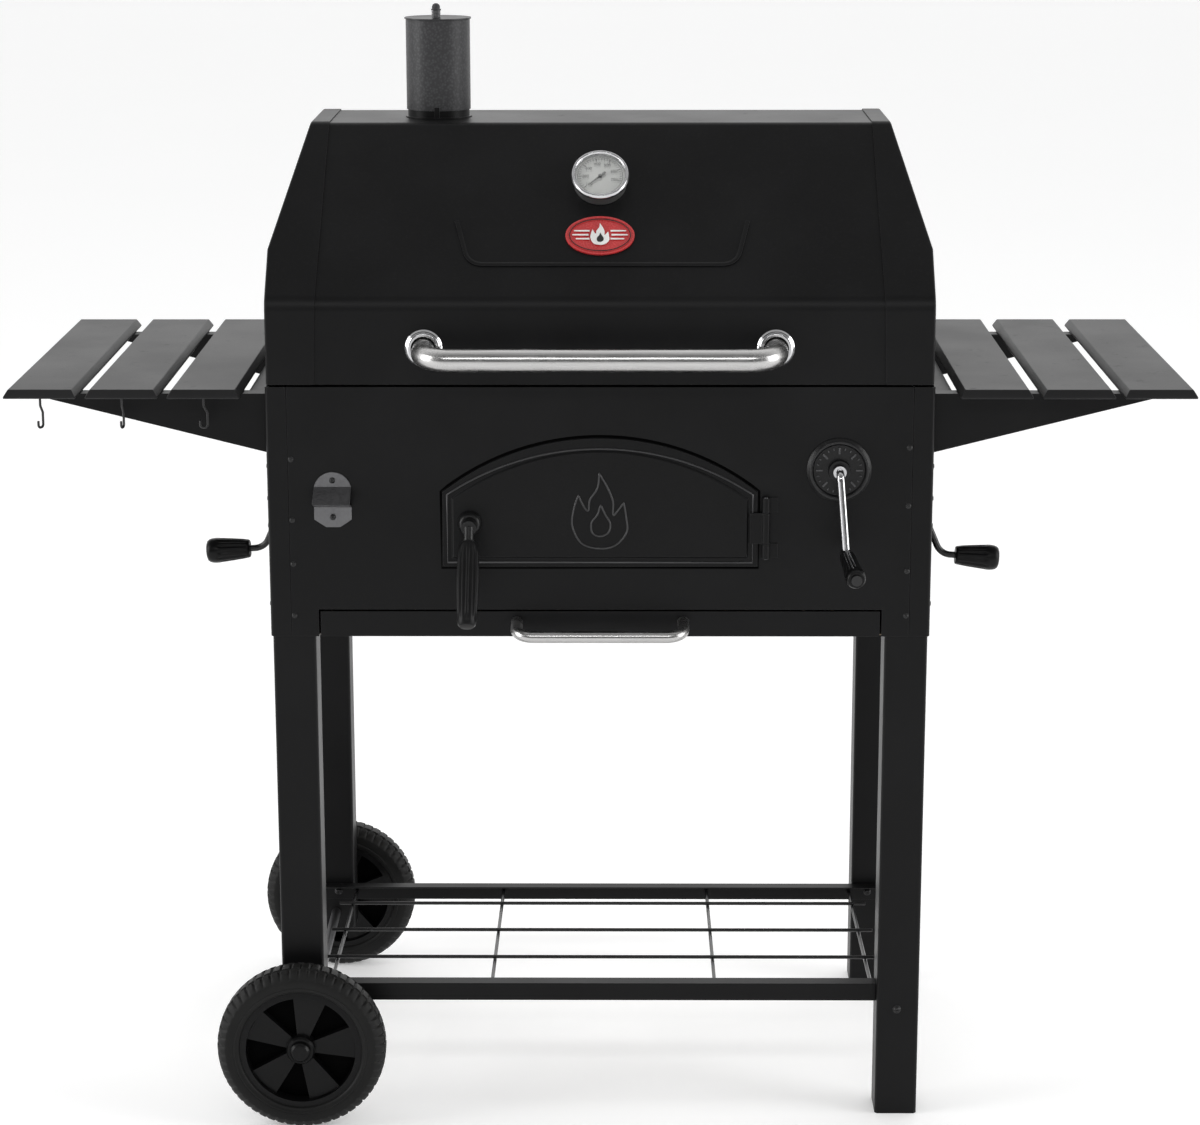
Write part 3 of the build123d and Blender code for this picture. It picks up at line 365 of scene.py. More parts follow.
def clear_glass(name, color):
    """Clear glass with faint smears."""
    glass = Shader(name, color, transmission_weight=1.0, ior=1.45, alpha=0.5)
    smear = glass.noise(60.0, 4.0, 0.6, 0.3)
    glass.roughen(glass.span(smear, 0.45, 0.8, 0.0, 0.05))
    glass.bump(smear, 0.004)
    return glass


MATERIALS = {
    "black_paint": painted("black_paint", (0.0052, 0.0052, 0.0055), 0.4, 0.15, 1.6, 0.035),
    "shelf_paint": painted("shelf_paint", (0.009, 0.009, 0.0095), 0.44, 0.24, 1.1, 0.05, wear_and_highlight=0.8),
    "stack_paint": hammered("stack_paint", (0.045, 0.045, 0.047)),
    "black_wire": painted("black_wire", (0.006, 0.006, 0.0065), 0.28, 0.4, 2.2, 0.03),
    "door_iron": textured("door_iron", (0.0045, 0.0045, 0.0048), 0.36, 0.16, 0.9, 0.04),
    "black_cast": textured("black_cast", (0.005, 0.005, 0.0053), 0.34, 0.3, 1.2, 0.06),
    "black_fastener": painted("black_fastener", (0.007, 0.007, 0.0073), 0.3, 0.4, 0.8, 0.02),
    "cast_iron": seasoned_iron("cast_iron", (0.02, 0.019, 0.018)),
    "bare_steel": heated_steel("bare_steel", (0.30, 0.29, 0.28)),
    "brushed_steel": brushed("brushed_steel", (0.5, 0.495, 0.49), 0.24, "X", anisotropic=0.5),
    "bright_steel": plated("bright_steel", (0.16, 0.16, 0.165), 0.3, 2.5),
    "chrome": plated("chrome", (0.55, 0.55, 0.56), 0.07, 4.0),
    "badge_red": enamel("badge_red", (0.52, 0.03, 0.032)),
    "dial_white": enamel("dial_white", (0.78, 0.78, 0.76), 0.3, 0.2),
    "needle_black": enamel("needle_black", (0.012, 0.012, 0.012), 0.35, 0.1),
    "clear_glass": clear_glass("clear_glass", (0.97, 0.985, 0.98)),
    "black_plastic": moulded("black_plastic", (0.004, 0.004, 0.0042), 0.32, 0.7, 0.03, 0.16, 0.006),
    "tyre": moulded("tyre", (0.007, 0.007, 0.0068), 0.5, 0.9, 0.08, specular=0.18, dust=0.01),
    # near-black, non-reflecting finish for the strip round the door: a painted shadow gap
    "painted_shadow_gap": moulded("painted_shadow_gap", (0.0012, 0.0012, 0.0012), 0.9, 0.6, 0.12, specular=0.0, dust=0.001),
    # near-black finish for the hub's recessed web: painted shade
    "hub_painted_shade": moulded("hub_painted_shade", (0.0012, 0.0012, 0.0013), 0.5, 0.7, 0.03, 0.02, 0.001),
    "case_side": brushed("case_side", (0.42, 0.42, 0.42), 0.4, "X"),
    # door iron four times lighter, used on the door's beads as a painted highlight
    "door_painted_highlight": textured("door_painted_highlight", (0.018, 0.018, 0.019), 0.3, 0.5, 0.6, 0.02),
    # lighter than the black paint: a painted highlight on the crank dial's raised black marks
    "mark_painted_highlight": painted("mark_painted_highlight", (0.05, 0.05, 0.052), 0.4, 0.3, 0.8, 0.02),
}


# ---- mesh helpers ----

def add_piece(name, shape, slot, body, replaces=(), sharp=30.0, weighted=True, look=None):
    """Turns a bmesh into a named piece on its body, with the slot's material or another look."""
    bmesh.ops.recalc_face_normals(shape, faces=shape.faces)
    mesh = bpy.data.meshes.new(name)
    shape.to_mesh(mesh)
    shape.free()
    mesh.shade_smooth()
    mesh.set_sharp_from_angle(angle=math.radians(sharp))
    piece = bpy.data.objects.new(name, mesh)
    bpy.context.scene.collection.objects.link(piece)
    mesh.materials.append(MATERIALS[look or slot].material)
    if weighted:
        even = piece.modifiers.new("even_shading", "WEIGHTED_NORMAL")
        even.keep_sharp = True
    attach(piece, body)
    if replaces:
        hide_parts(*replaces)
    return piece


def node_shape(node):
    """The CAD node's own mesh, welded, with flat regions joined into single faces."""
    shape = bmesh.new()
    shape.from_mesh(NODES[node].data)
    bmesh.ops.remove_doubles(shape, verts=shape.verts, dist=0.01 * MM)
    bmesh.ops.dissolve_degenerate(shape, edges=shape.edges, dist=0.05 * MM)
    bmesh.ops.dissolve_limit(shape, angle_limit=math.radians(0.4), verts=shape.verts, edges=shape.edges)
    return shape


def round_edges(shape, width, sharp=30.0, segments=2):
    """Rounds the edges where two faces meet at more than sharp degrees."""
    limit = math.radians(sharp)
    edges = [e for e in shape.edges if len(e.link_faces) == 2 and e.calc_face_angle(0.0) > limit]
    bmesh.ops.bevel(shape, geom=edges, offset=width * MM, segments=segments, profile=0.5,
                    affect="EDGES", clamp_overlap=True)


def refine(node, width=0.5, segments=2):
    """A piece with the node's shape and rounded edges."""
    shape = node_shape(node)
    round_edges(shape, width, segments=segments)
    return add_piece(node + "_shape", shape, NODE_SLOT[node], NODE_BODY[node], [node])


def frame_along(direction):
    """A rotation whose Z axis is the direction."""
    return direction.normalized().to_track_quat("Z", "Y").to_matrix().to_4x4()


def lathe(shape, place, direction, profile, steps=64, ribs=0, rib_depth=0.0, lobes=None):
    """Adds a turned solid. profile lists (radius, height) or (radius, height, weight) in mm;
    ribs cut that many flutes, by weight; lobes(angle) scales the radius where weight is negative."""
    turn = Matrix.Translation(place) @ frame_along(direction)
    rings = []
    for entry in profile:
        radius, height = entry[:2]
        weight = entry[2] if len(entry) > 2 else 0.0
        if radius < 1e-6:
            rings.append([shape.verts.new(turn @ Vector((0, 0, height * MM)))])
            continue
        ring = []
        for step in range(steps):
            angle = 2 * math.pi * step / steps
            r = radius
            if ribs and weight > 0:
                r -= rib_depth * weight * (0.5 + 0.5 * math.cos(ribs * angle)) ** 2
            if lobes and weight < 0:
                r *= lobes(angle)
            ring.append(shape.verts.new(turn @ Vector((r * math.cos(angle) * MM,
                                                       r * math.sin(angle) * MM, height * MM))))
        rings.append(ring)
    for low, high in zip(rings, rings[1:]):
        for step in range(steps):
            after = (step + 1) % steps
            corners = [low[step % len(low)], low[after % len(low)],
                       high[after % len(high)], high[step % len(high)]]
            face = list(dict.fromkeys(corners))
            if len(face) > 2:
                shape.faces.new(face)
    return rings


def axis_of(node, towards):
    """Start, unit direction and length of a turned node that is longer than it is wide."""
    points = np.array([v.co for v in NODES[node].data.vertices], float)
    points = np.unique(np.round(points, 6), axis=0)
    middle = points.mean(0)
    line = np.linalg.svd(points - middle, full_matrices=False)[2][0]
    if line @ np.array(towards, float) < 0:
        line = -line
    along = (points - middle) @ line
    start = Vector(middle + line * along.min())
    return start, Vector(line), (along.max() - along.min()) / MM


def sweep(shape, points, radius, sides=16, closed=False):
    """Adds a round wire through points (metres), with capped ends."""
    count = len(points)
    rings = []
    normal = None
    for index, point in enumerate(points):
        ahead = points[(index + 1) % count] if closed or index + 1 < count else point
        behind = points[index - 1] if closed or index else point
        tangent = (ahead - behind).normalized()
        if normal is None:
            normal = tangent.orthogonal().normalized()
        normal = (normal - tangent * normal.dot(tangent)).normalized()
        side = tangent.cross(normal)
        rings.append([shape.verts.new(point + (normal * math.cos(a) + side * math.sin(a)) * radius * MM)
                      for a in (2 * math.pi * k / sides for k in range(sides))])
    pairs = list(zip(rings, rings[1:])) + ([(rings[-1], rings[0])] if closed else [])
    for low, high in pairs:
        for k in range(sides):
            shape.faces.new((low[k], low[(k + 1) % sides], high[(k + 1) % sides], high[k]))
    if not closed:
        shape.faces.new(rings[0])
        shape.faces.new(rings[-1])


# ---- wheels ----

def tyre_shape(node, outward):
    """Solid tyre: smooth ringed side walls and three rows of knobs round the tread."""
    low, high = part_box(node)
    centre = (low + high) / 2
    half = (high.y - low.y) / 2 / MM
    outer = (high.z - low.z) / 2 / MM
    # radius, height, groove depth, row; rows 0 and 3 are the shoulders, 1 and 2 the middle of the tread
    profile = [(72, -half + 4, 0, 0), (73.5, -half + 1.6, 0, 0), (76, -half + 0.4, 0, 0), (78, -half, 0, 0),
               (79.4, -half + 0.7, 0, 0), (81, -half, 0, 0), (85, -half, 0, 0),
               (outer - 11.5, -half + 0.5, 0, 0), (outer - 10, -half + 1.2, 1.0, 0),
               (outer - 5.4, -half + 4.2, 1.9, 0), (outer - 2.6, -half + 7.6, 2.1, 0),
               (outer - 1.0, -half + 11, 2.0, 0), (outer - 3.2, -half + 12.2, 0, 0),
               (outer - 3.2, -half + 13.6, 0, 0), (outer - 0.3, -half + 14.8, 2.0, 1),
               (outer, 0, 2.0, 1)]
    profile += [(r, -h, d, row * 2 + (row == 0) * 3) for r, h, d, row in reversed(profile[:-1])]
    knobs, parts = 54, 5
    steps = knobs * parts
    shape = bmesh.new()
    turn = Matrix.Translation(centre) @ frame_along(BACK * outward)
    shift = {0: 0, 1: 3, 2: 3, 3: 2}     # where each row's grooves fall
    rings = []
    for radius, height, depth, row in profile:
        ring = []
        for step in range(steps):
            phase = (step + shift[row]) % parts
            cut = depth if phase == 0 else 0.0
            angle = 2 * math.pi * step / steps
            ring.append(shape.verts.new(turn @ (Vector(((radius - cut) * math.cos(angle),
                                                        (radius - cut) * math.sin(angle), height)) * MM)))
        rings.append(ring)
    rings.append(rings[0])
    for lower, upper in zip(rings, rings[1:]):
        for k in range(steps):
            shape.faces.new((lower[k], lower[(k + 1) % steps], upper[(k + 1) % steps], upper[k]))
    return shape


HUB_WEB = 5.0                    # half the hub's recessed middle, mm


def wheels():
    """Knobbed tyres, and hubs with painted shade: a darker finish on the recessed web between the spokes."""
    for end, outward in (("front", -1), ("rear", 1)):
        node = "wheel_tyre_" + end
        add_piece(node + "_tread", tyre_shape(node, outward), "tyre", NODE_BODY[node], [node], sharp=34.0)
        low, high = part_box("wheel_hub_" + end)
        middle = (low + high) / 2
        # faces of the recessed web take the darker finish, a painted shade
        two_tone("wheel_hub_" + end, 0.9, "hub_painted_shade",
                 lambda place, middle=middle: abs(place.y - middle.y) < HUB_WEB * MM)


# ---- grips ----

def grip(node, towards, profile, ribs, depth, steps=96):
    """Fluted moulded grip. profile gives (radius, share of the length, flute weight)."""
    start, direction, length = axis_of(node, towards)
    shape = bmesh.new()
    lathe(shape, start, direction, [(r, share * length, weight) for r, share, weight in profile],
          steps, ribs, depth)
    return add_piece(node + "_moulded", shape, NODE_SLOT[node], NODE_BODY[node], [node], sharp=40.0)


def grips():
    """The fluted grips of both side dampers, the door latch and the crank."""
    vent = [(0, 0, 0), (10.2, 0, 0), (10.9, 0.012, 0), (11.4, 0.05, 0), (11.7, 0.09, 0.4), (12.3, 0.16, 1),
            (13.6, 0.38, 1), (14.7, 0.6, 1), (15.0, 0.67, 0.7), (15.4, 0.72, 0), (15.5, 0.78, 0),
            (15.1, 0.86, 0), (14.2, 0.92, 0), (12.4, 0.965, 0), (9.0, 0.988, 0), (5.0, 0.998, 0), (0, 1, 0)]
    for side, towards in (("left", -ACROSS), ("right", ACROSS)):
        grip("side_damper_grip_" + side, towards, vent, 12, 1.5)
    latch = [(0, 0, 0), (9.6, 0, 0), (10.2, 0.012, 0), (11.0, 0.05, 0), (11.4, 0.09, 0.3), (12.0, 0.16, 1),
             (12.8, 0.34, 1), (13.0, 0.47, 1), (12.5, 0.66, 1), (11.8, 0.82, 1), (11.4, 0.88, 0.3),
             (11.0, 0.92, 0), (10.2, 0.965, 0), (8.0, 0.99, 0), (0, 1, 0)]
    grip("latch_grip", (0, -0.6, -0.8), latch, 14, 1.4)
    crank = [(4.1, 0, 0), (7.3, 0, 0), (7.7, 0.01, 0), (8.4, 0.035, 0), (8.8, 0.08, 0.4), (9.1, 0.16, 1),
             (9.6, 0.42, 1), (10.6, 0.66, 1), (11.2, 0.82, 0.6), (11.5, 0.88, 0), (11.4, 0.93, 0),
             (10.6, 0.975, 0), (9.2, 0.996, 0), (8.6, 1, 0), (4.1, 1, 0), (4.1, 0, 0)]
    grip("crank_grip", -BACK, crank, 12, 0.7)


# ---- screws ----

def cross_slot(angle):
    """Outline of a cross recess, as a share of its radius."""
    return 0.34 + 0.66 * abs(math.cos(2 * angle)) ** 7


def screw_heads():
    """A domed cross-slotted head, with a washer, in place of each plain CAD head."""
    source = node_shape("fasteners")
    shape = bmesh.new()
    left = set(source.verts)
    while left:
        island, edge = set(), [left.pop()]
        while edge:
            vert = edge.pop()
            island.add(vert)
            for link in vert.link_edges:
                other = link.other_vert(vert)
                if other in left:
                    left.discard(other)
                    edge.append(other)
        points = np.array([v.co for v in island], float)
        low, high = points.min(0), points.max(0)
        middle, size = (low + high) / 2, high - low
        axis = int(np.argmin(size))
        radius, height = float(size.max()) / 2 / MM, float(size[axis]) / MM
        spread = np.linalg.norm(np.delete(points - middle, axis, 1), axis=1)
        low_side, high_side = points[:, axis] < middle[axis], points[:, axis] > middle[axis]
        sign = 1 if spread[low_side].max() > spread[high_side].max() else -1
        direction = Vector([sign if k == axis else 0 for k in range(3)])
        base = Vector(middle) - direction * height / 2 * MM
        head = [(0, 0), (radius, 0), (radius, height * 0.16), (radius * 0.93, height * 0.26),
                (radius * 0.86, height * 0.3), (radius * 0.84, height * 0.5), (radius * 0.72, height * 0.8),
                (radius * 0.62, height * 0.93), (radius * 0.56, height),
                (radius * 0.54, height, -1), (radius * 0.5, height * 0.5, -1), (0, height * 0.42)]
        lathe(shape, base, direction, head, 32, lobes=cross_slot)
    source.free()
    add_piece("fasteners_heads", shape, "black_fastener", "cart", ["fasteners"], sharp=38.0)


# ---- lid ----

POINTER = JOINTS["thermometer_pointer"]
SLOPE_OUT = -Vector(POINTER["axis"]).normalized()
SLOPE_UP = SLOPE_OUT.cross(ACROSS).normalized() * (1 if SLOPE_OUT.cross(ACROSS).z > 0 else -1)
POINTER_PROUD = 12.1             # height of the needle's pivot above the lid's sheet, mm
DIAL_TURN = Matrix.Translation(Vector(POINTER["pos_m"])) @ Matrix(
    (ACROSS, SLOPE_UP, SLOPE_OUT)).transposed().to_4x4()


def slope_point(x, up, proud):
    """A place on the lid's front slope: x and distance above the thermometer, and height off the sheet."""
    return DIAL_TURN @ (Vector((x, up, proud - POINTER_PROUD)) * MM)


def rounded_path(corners, radius, steps=10):
    """Points along straight runs joined by soft bends (2-D, mm)."""
    points = [Vector(corners[0])]
    for before, corner, after in zip(corners, corners[1:], corners[2:]):
        corner = Vector(corner)
        into = (Vector(before) - corner).normalized()
        out = (Vector(after) - corner).normalized()
        half = into.angle(out) / 2
        reach = radius / math.tan(half)
        for k in range(steps + 1):
            t = k / steps
            start, end = corner + into * reach, corner + out * reach
            points.append(start * (1 - t) ** 2 + corner * 2 * t * (1 - t) + end * t ** 2)
    points.append(Vector(corners[-1]))
    return points


EMBOSS = ((-164, -52), (-149, -112), (155, -112), (169, -52))
EMBOSS_WIDTH, EMBOSS_HEIGHT = 5.0, 0.55
EMBOSS_BEND = 22.0


def lid_emboss():
    """Pressed ridge that frames the badge on the front slope, fading out at its ends."""
    line = rounded_path(EMBOSS, EMBOSS_BEND)
    dense = []
    for start, end in zip(line, line[1:]):
        pieces = max(1, int((end - start).length / 6))
        dense += [start.lerp(end, k / pieces) for k in range(pieces)]
    dense.append(line[-1])
    shape = bmesh.new()
    rows = []
    across = [-1, -0.75, -0.5, -0.25, 0, 0.25, 0.5, 0.75, 1]
    total = len(dense)
    for index, point in enumerate(dense):
        ahead = dense[min(index + 1, total - 1)] - dense[max(index - 1, 0)]
        side = Vector((-ahead.y, ahead.x)).normalized()
        fade = min(1.0, min(index, total - 1 - index) / 7)
        row = []
        for share in across:
            rise = (0.5 + 0.5 * math.cos(math.pi * share)) * EMBOSS_HEIGHT * fade
            place = point + side * share * EMBOSS_WIDTH / 2
            row.append(shape.verts.new(slope_point(place.x, place.y, rise + 0.02)))
        row += [shape.verts.new(slope_point(*(point + side * share * EMBOSS_WIDTH / 2), -0.8))
                for share in (1, -1)]
        rows.append(row)
    for low, high in zip(rows, rows[1:]):
        for k in range(len(low)):
            after = (k + 1) % len(low)
            shape.faces.new((low[k], low[after], high[after], high[k]))
    shape.faces.new(rows[0])
    shape.faces.new(rows[-1])
    add_piece("lid_emboss_ridge", shape, "black_paint", "lid", sharp=50.0, weighted=False)


def smooth_outline(points, steps=8):
    """A closed Catmull-Rom curve; points marked sharp keep their corner."""
    count = len(points)
    curve = []
    for k in range(count):
        p0, p1, p2, p3 = (points[(k + j - 1) % count] for j in range(4))
        a, b, c, d = (Vector(p[:2]) for p in (p0, p1, p2, p3))
        start = Vector((0, 0)) if len(p1) > 2 else (c - a) / 2
        end = Vector((0, 0)) if len(p2) > 2 else (d - b) / 2
        for s in range(steps):
            t = s / steps
            curve.append(b * (2 * t ** 3 - 3 * t ** 2 + 1) + start * (t ** 3 - 2 * t ** 2 + t)
                         + c * (-2 * t ** 3 + 3 * t ** 2) + end * (t ** 3 - t ** 2))
    return curve


# Outline of a plain three-tongued flame, 2 units high; a third value marks a pointed tip.
FLAME = ((0.0, -1.0), (0.42, -0.9), (0.7, -0.55), (0.68, -0.15), (0.62, 0.22, 1), (0.44, -0.02),
         (0.34, -0.1), (0.34, 0.25), (0.2, 0.62), (-0.02, 1.0, 1), (-0.06, 0.62), (-0.26, 0.3),
         (-0.3, 0.02), (-0.42, 0.12), (-0.56, 0.42, 1), (-0.68, 0.05), (-0.72, -0.4), (-0.48, -0.86))
CORE = ((0.0, -0.8), (0.26, -0.68), (0.32, -0.4), (0.16, -0.1), (0.02, 0.2, 1), (-0.08, -0.12),
        (-0.26, -0.36), (-0.24, -0.68))


def flat_shape(shape, turn, outline, low, high, chamfer):
    """Adds a closed concave outline as a raised plate with a bevelled rim."""
    count = len(outline)
    signed = sum(outline[k].x * outline[(k + 1) % count].y - outline[(k + 1) % count].x * outline[k].y
                 for k in range(count))
    inward = 1 if signed > 0 else -1
    rings = []
    for height, shrink in ((low, 0.0), (high - chamfer, 0.0), (high, chamfer)):
        ring = []
        for k in range(count):
            ahead = (outline[(k + 1) % count] - outline[k - 1]).normalized()
            place = outline[k] + Vector((-ahead.y, ahead.x)) * inward * shrink
            ring.append(shape.verts.new(turn @ (Vector((place.x, place.y, height)) * MM)))
        rings.append(ring)
    for lower, upper in zip(rings, rings[1:]):
        for k in range(count):
            shape.faces.new((lower[k], lower[(k + 1) % count], upper[(k + 1) % count], upper[k]))
    shape.faces.new(rings[0])
    shape.faces.new(rings[-1])


def flame(shape, turn, outline, size, low, high, chamfer, centre=(0, 0)):
    """Adds a flame of the given size as a raised plate."""
    points = [p * size / 2 + Vector(centre) for p in smooth_outline(outline)]
    points = [p for k, p in enumerate(points) if (p - points[k - 1]).length > 0.25]
    flat_shape(shape, turn, points, low, high, chamfer)


def ring_wall(shape, turn, rx, ry, profile, steps=96):
    """Adds an oval ring; profile lists (inset from the oval, height) round its section."""
    rings = []
    for inset, height in profile:
        oval = [Vector(((rx - inset) * math.cos(a), (ry - inset) * math.sin(a), height))
                for a in (2 * math.pi * k / steps for k in range(steps))]
        rings.append([shape.verts.new(turn @ (place * MM)) for place in oval])
    for lower, upper in zip(rings, rings[1:] + rings[:1]):
        for k in range(steps):
            shape.faces.new((lower[k], lower[(k + 1) % steps], upper[(k + 1) % steps], upper[k]))


BADGE_BELOW = 73.0               # distance of the badge's centre down the slope from the pivot, mm


def badge_detail():
    """Pale flame with three bars at each side on the red oval, and a thin dark line round them."""
    turn = DIAL_TURN @ Matrix.Translation(Vector((0, -BADGE_BELOW, -POINTER_PROUD)) * MM)
    pale = bmesh.new()
    flame(pale, turn, FLAME, 30, 1.5, 2.35, 0.1, (0, 1))
    for side in (-1, 1):
        for row, (near, far) in enumerate(((12, 29), (13, 31), (12, 27))):
            y = 5.5 - 5.5 * row
            band = [Vector((side * x, y + up)) for x, up in
                    ((near, -1.1), (far, -0.8), (far + 1, 0), (far, 0.8), (near, 1.1))]
            flat_shape(pale, turn, band, 1.5, 2.1, 0.2)
    add_piece("lid_badge_flame", pale, "dial_white", "lid", sharp=40.0)
    core = bmesh.new()
    flame(core, turn, CORE, 26, 2.0, 2.7, 0.1, (0, 0))
    ring_wall(core, turn, 35.2, 22.4, [(0, 1.5), (0.2, 2.2), (0.8, 2.2), (1.0, 1.5)])
    add_piece("lid_badge_core", core, "needle_black", "lid", sharp=40.0)


# ---- thermometer ----

SCALE_START = 222.0              # degrees, at the lowest number
SCALE_SWEEP = 240.0
DIAL_FACE = 14.35                # height of the printed face above the lid's sheet, mm
DIAL_INK = DIAL_FACE - POINTER_PROUD


def dial_marks():
    """Scale marks, numbers and a ring on the dial face."""
    ink = bmesh.new()
    divisions = 30
    for index in range(divisions + 1):
        angle = math.radians(SCALE_START - SCALE_SWEEP * index / divisions)
        long = index % 5 == 0
        inner, outer, half = (21.0 if long else 22.6), 25.0, (0.42 if long else 0.22)
        along = Vector((math.cos(angle), math.sin(angle)))
        side = Vector((-along.y, along.x)) * half
        mark = [along * inner - side, along * outer - side, along * outer + side, along * inner + side]
        flat_shape(ink, DIAL_TURN, mark, DIAL_INK - 0.1, DIAL_INK + 0.08, 0.02)
    ring_wall(ink, DIAL_TURN, 26.2, 26.2,
              [(0, DIAL_INK - 0.1), (0, DIAL_INK + 0.06), (0.4, DIAL_INK + 0.06), (0.4, DIAL_INK - 0.1)])
    add_piece("dial_marks", ink, "needle_black", "lid", weighted=False)
    for index in range(7):
        angle = math.radians(SCALE_START - SCALE_SWEEP * index / 6)
        text = bpy.data.curves.new("number", "FONT")
        text.body = str(100 + 100 * index)
        text.size = 5.2 * MM
        text.extrude = 0.06 * MM
        text.align_x, text.align_y = "CENTER", "CENTER"
        label = bpy.data.objects.new("number", text)
        place = Vector((17.0 * math.cos(angle), 17.0 * math.sin(angle), DIAL_INK + 0.02)) * MM
        label.matrix_world = DIAL_TURN @ Matrix.Translation(place)
        bpy.context.scene.collection.objects.link(label)
        bpy.context.view_layer.update()
        mesh = bpy.data.meshes.new_from_object(label.evaluated_get(bpy.context.evaluated_depsgraph_get()))
        number = bmesh.new()
        number.from_mesh(mesh)
        number.transform(label.matrix_world)
        bpy.data.objects.remove(label)
        add_piece(f"dial_number_{index + 1}", number, "needle_black", "lid", weighted=False)


# ---- flue, dial of the crank, door ----

def flue_spring():
    """Coil spring round the damper's pin, between the disc and the washer."""
    pin = Vector(JOINTS["flue_damper_swivel"]["pos_m"])
    shape = bmesh.new()
    turns, steps = 5, 20
    coil, wire, foot, rise = 4.6, 0.75, 2.0, 8.4     # radii and heights, mm
    points = []
    for k in range(turns * steps + 1):
        angle = 2 * math.pi * k / steps
        height = foot + rise * k / (turns * steps)
        points.append(pin + Vector((coil * math.cos(angle), coil * math.sin(angle), height)) * MM)
    sweep(shape, points, wire, 10)
    add_piece("flue_damper_spring", shape, "bright_steel", "flue_damper", sharp=60.0)


CRANK_FACE = 9.0                 # depth of the dial's face behind its front, mm
CRANK_TICKS = 24


def crank_dial_ring():
    """Polished black ring on the dial's rim, with raised height marks inside it that are painted lighter as a
    painted highlight.
    """
    low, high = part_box("crank_dial")
    centre = Vector(((low.x + high.x) / 2, low.y, (low.z + high.z) / 2))
    face = centre + BACK * CRANK_FACE * MM
    shape = bmesh.new()
    lathe(shape, face, -BACK, [(31.4, 3.6), (31.2, 5.0), (31.9, 5.7), (33.3, 5.7), (34.1, 5.0), (34.4, 3.6),
                               (31.4, 3.6)], 96)
    add_piece("crank_dial_ring", shape, "black_wire", "cart", sharp=50.0)
    marks = bmesh.new()
    for index in range(CRANK_TICKS):
        angle = 2 * math.pi * index / CRANK_TICKS
        inner = 24.0 if index % 3 else 19.0
        along = Vector((math.cos(angle), math.sin(angle)))
        side = Vector((-along.y, along.x)) * (0.5 if index % 3 else 0.9)
        mark = [along * inner - side, along * 26.5 - side, along * 26.5 + side, along * inner + side]
        flat_shape(marks, Matrix.Translation(face) @ frame_along(-BACK), mark, 1.5, 3.5, 0.2)
    add_piece("crank_dial_marks", marks, "black_wire", "cart", sharp=40.0, look="mark_painted_highlight")


DOOR_HALF, DOOR_SHOULDER = 180.0, 765.0
DOOR_FLAME_UP = 66               # the flame's centre above the door's foot, mm
BEAD_RADIUS, SHADOW_GAP_RADIUS = 1.1, 1.5


def arch_points(half, bottom, shoulder, apex, steps=40):
    """The door's outline (x, z in mm): straight sides and foot under a circular arch."""
    rise = apex - shoulder
    radius = (half ** 2 + rise ** 2) / (2 * rise)
    reach = math.asin(half / radius)
    arc = [Vector((radius * math.sin(a), apex - radius + radius * math.cos(a)))
           for a in (reach - 2 * reach * k / steps for k in range(steps + 1))]
    return [Vector((half, bottom))] + arc + [Vector((-half, bottom))]


def door_detail():
    """Plain flame beads on the door's field and a bead round it, lighter than the door as a painted highlight, and
    a near-black strip behind its edge as a painted shadow gap.
    """
    low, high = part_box("door_panel")
    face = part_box("latch_boss")[1].y
    bottom, apex = low.z / MM, high.z / MM
    beads = bmesh.new()
    centre = Vector((0.0, bottom + DOOR_FLAME_UP))
    for outline, size in ((FLAME, 88), (CORE, 74)):
        line = [Vector(((p.x * size / 2 + centre.x) * MM, face, (p.y * size / 2 + centre.y) * MM))
                for p in smooth_outline(outline, 6)]
        line = [point for k, point in enumerate(line) if (point - line[k - 1]).length > 0.7 * MM]
        sweep(beads, line, BEAD_RADIUS, 10, closed=True)
    rim_line = arch_points(DOOR_HALF - 5, bottom + 5, DOOR_SHOULDER - 2.5, apex - 12)
    rim = [Vector((p.x * MM, face + 2.7 * MM, p.y * MM)) for p in rim_line]
    sweep(beads, rim, BEAD_RADIUS, 10, closed=True)
    # the beads take the lighter copy of the door's iron, a painted highlight
    add_piece("door_beads", beads, "door_iron", "door", sharp=60.0, weighted=False, look="door_painted_highlight")
    # near-black strip round the door's edge: a painted shadow gap
    shadow_strip = bmesh.new()
    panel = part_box("front_panel")[0].y
    outer = arch_points(DOOR_HALF + 2.2, bottom - 2.2, DOOR_SHOULDER + 1.2, apex + 2.2)
    edge = [Vector((p.x * MM, panel + 0.3 * MM, p.y * MM)) for p in outer]
    sweep(shadow_strip, edge, SHADOW_GAP_RADIUS, 12, closed=True)
    add_piece("door_painted_shadow", shadow_strip, "black_cast", "cart", sharp=60.0, weighted=False, look="painted_shadow_gap")


def two_tone(node, width, look, chosen):
    """The node's shape with a second finish on the faces that chosen(centre) picks."""
    piece = refine(node, width)
    piece.data.materials.append(MATERIALS[look].material)
    for face in piece.data.polygons:
        if chosen(face.center):
            face.material_index = 1


def crank_arm():
    """The chrome arm, with the head of its pin blackened."""
    grip_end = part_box("crank_grip")[0].y
    two_tone("crank_arm", 0.6, "black_fastener", lambda place: place.y < grip_end + 0.5 * MM)


CASE_BARREL = 12.0               # height of the case's duller barrel above the lid's sheet, mm
COLLAR_HEIGHT = 10.4             # top of the flue's collar above the lid, mm


def thermometer_case():
    """Polished rim on a duller barrel."""
    pivot = Vector(POINTER["pos_m"])
    two_tone("thermometer_case", 0.5, "case_side",
             lambda place: (place - pivot).dot(SLOPE_OUT) < (CASE_BARREL - POINTER_PROUD) * MM)


def smokestack():
    """The hammered flue on its plain black collar, whose black also stands in for the shade at the flue's foot."""
    collar_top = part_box("lid_shell")[1].z + COLLAR_HEIGHT * MM
    # the collar's faces take the black paint, which also paints the shade at the flue's foot
    two_tone("smokestack", 0.4, "black_paint", lambda place: place.z < collar_top)


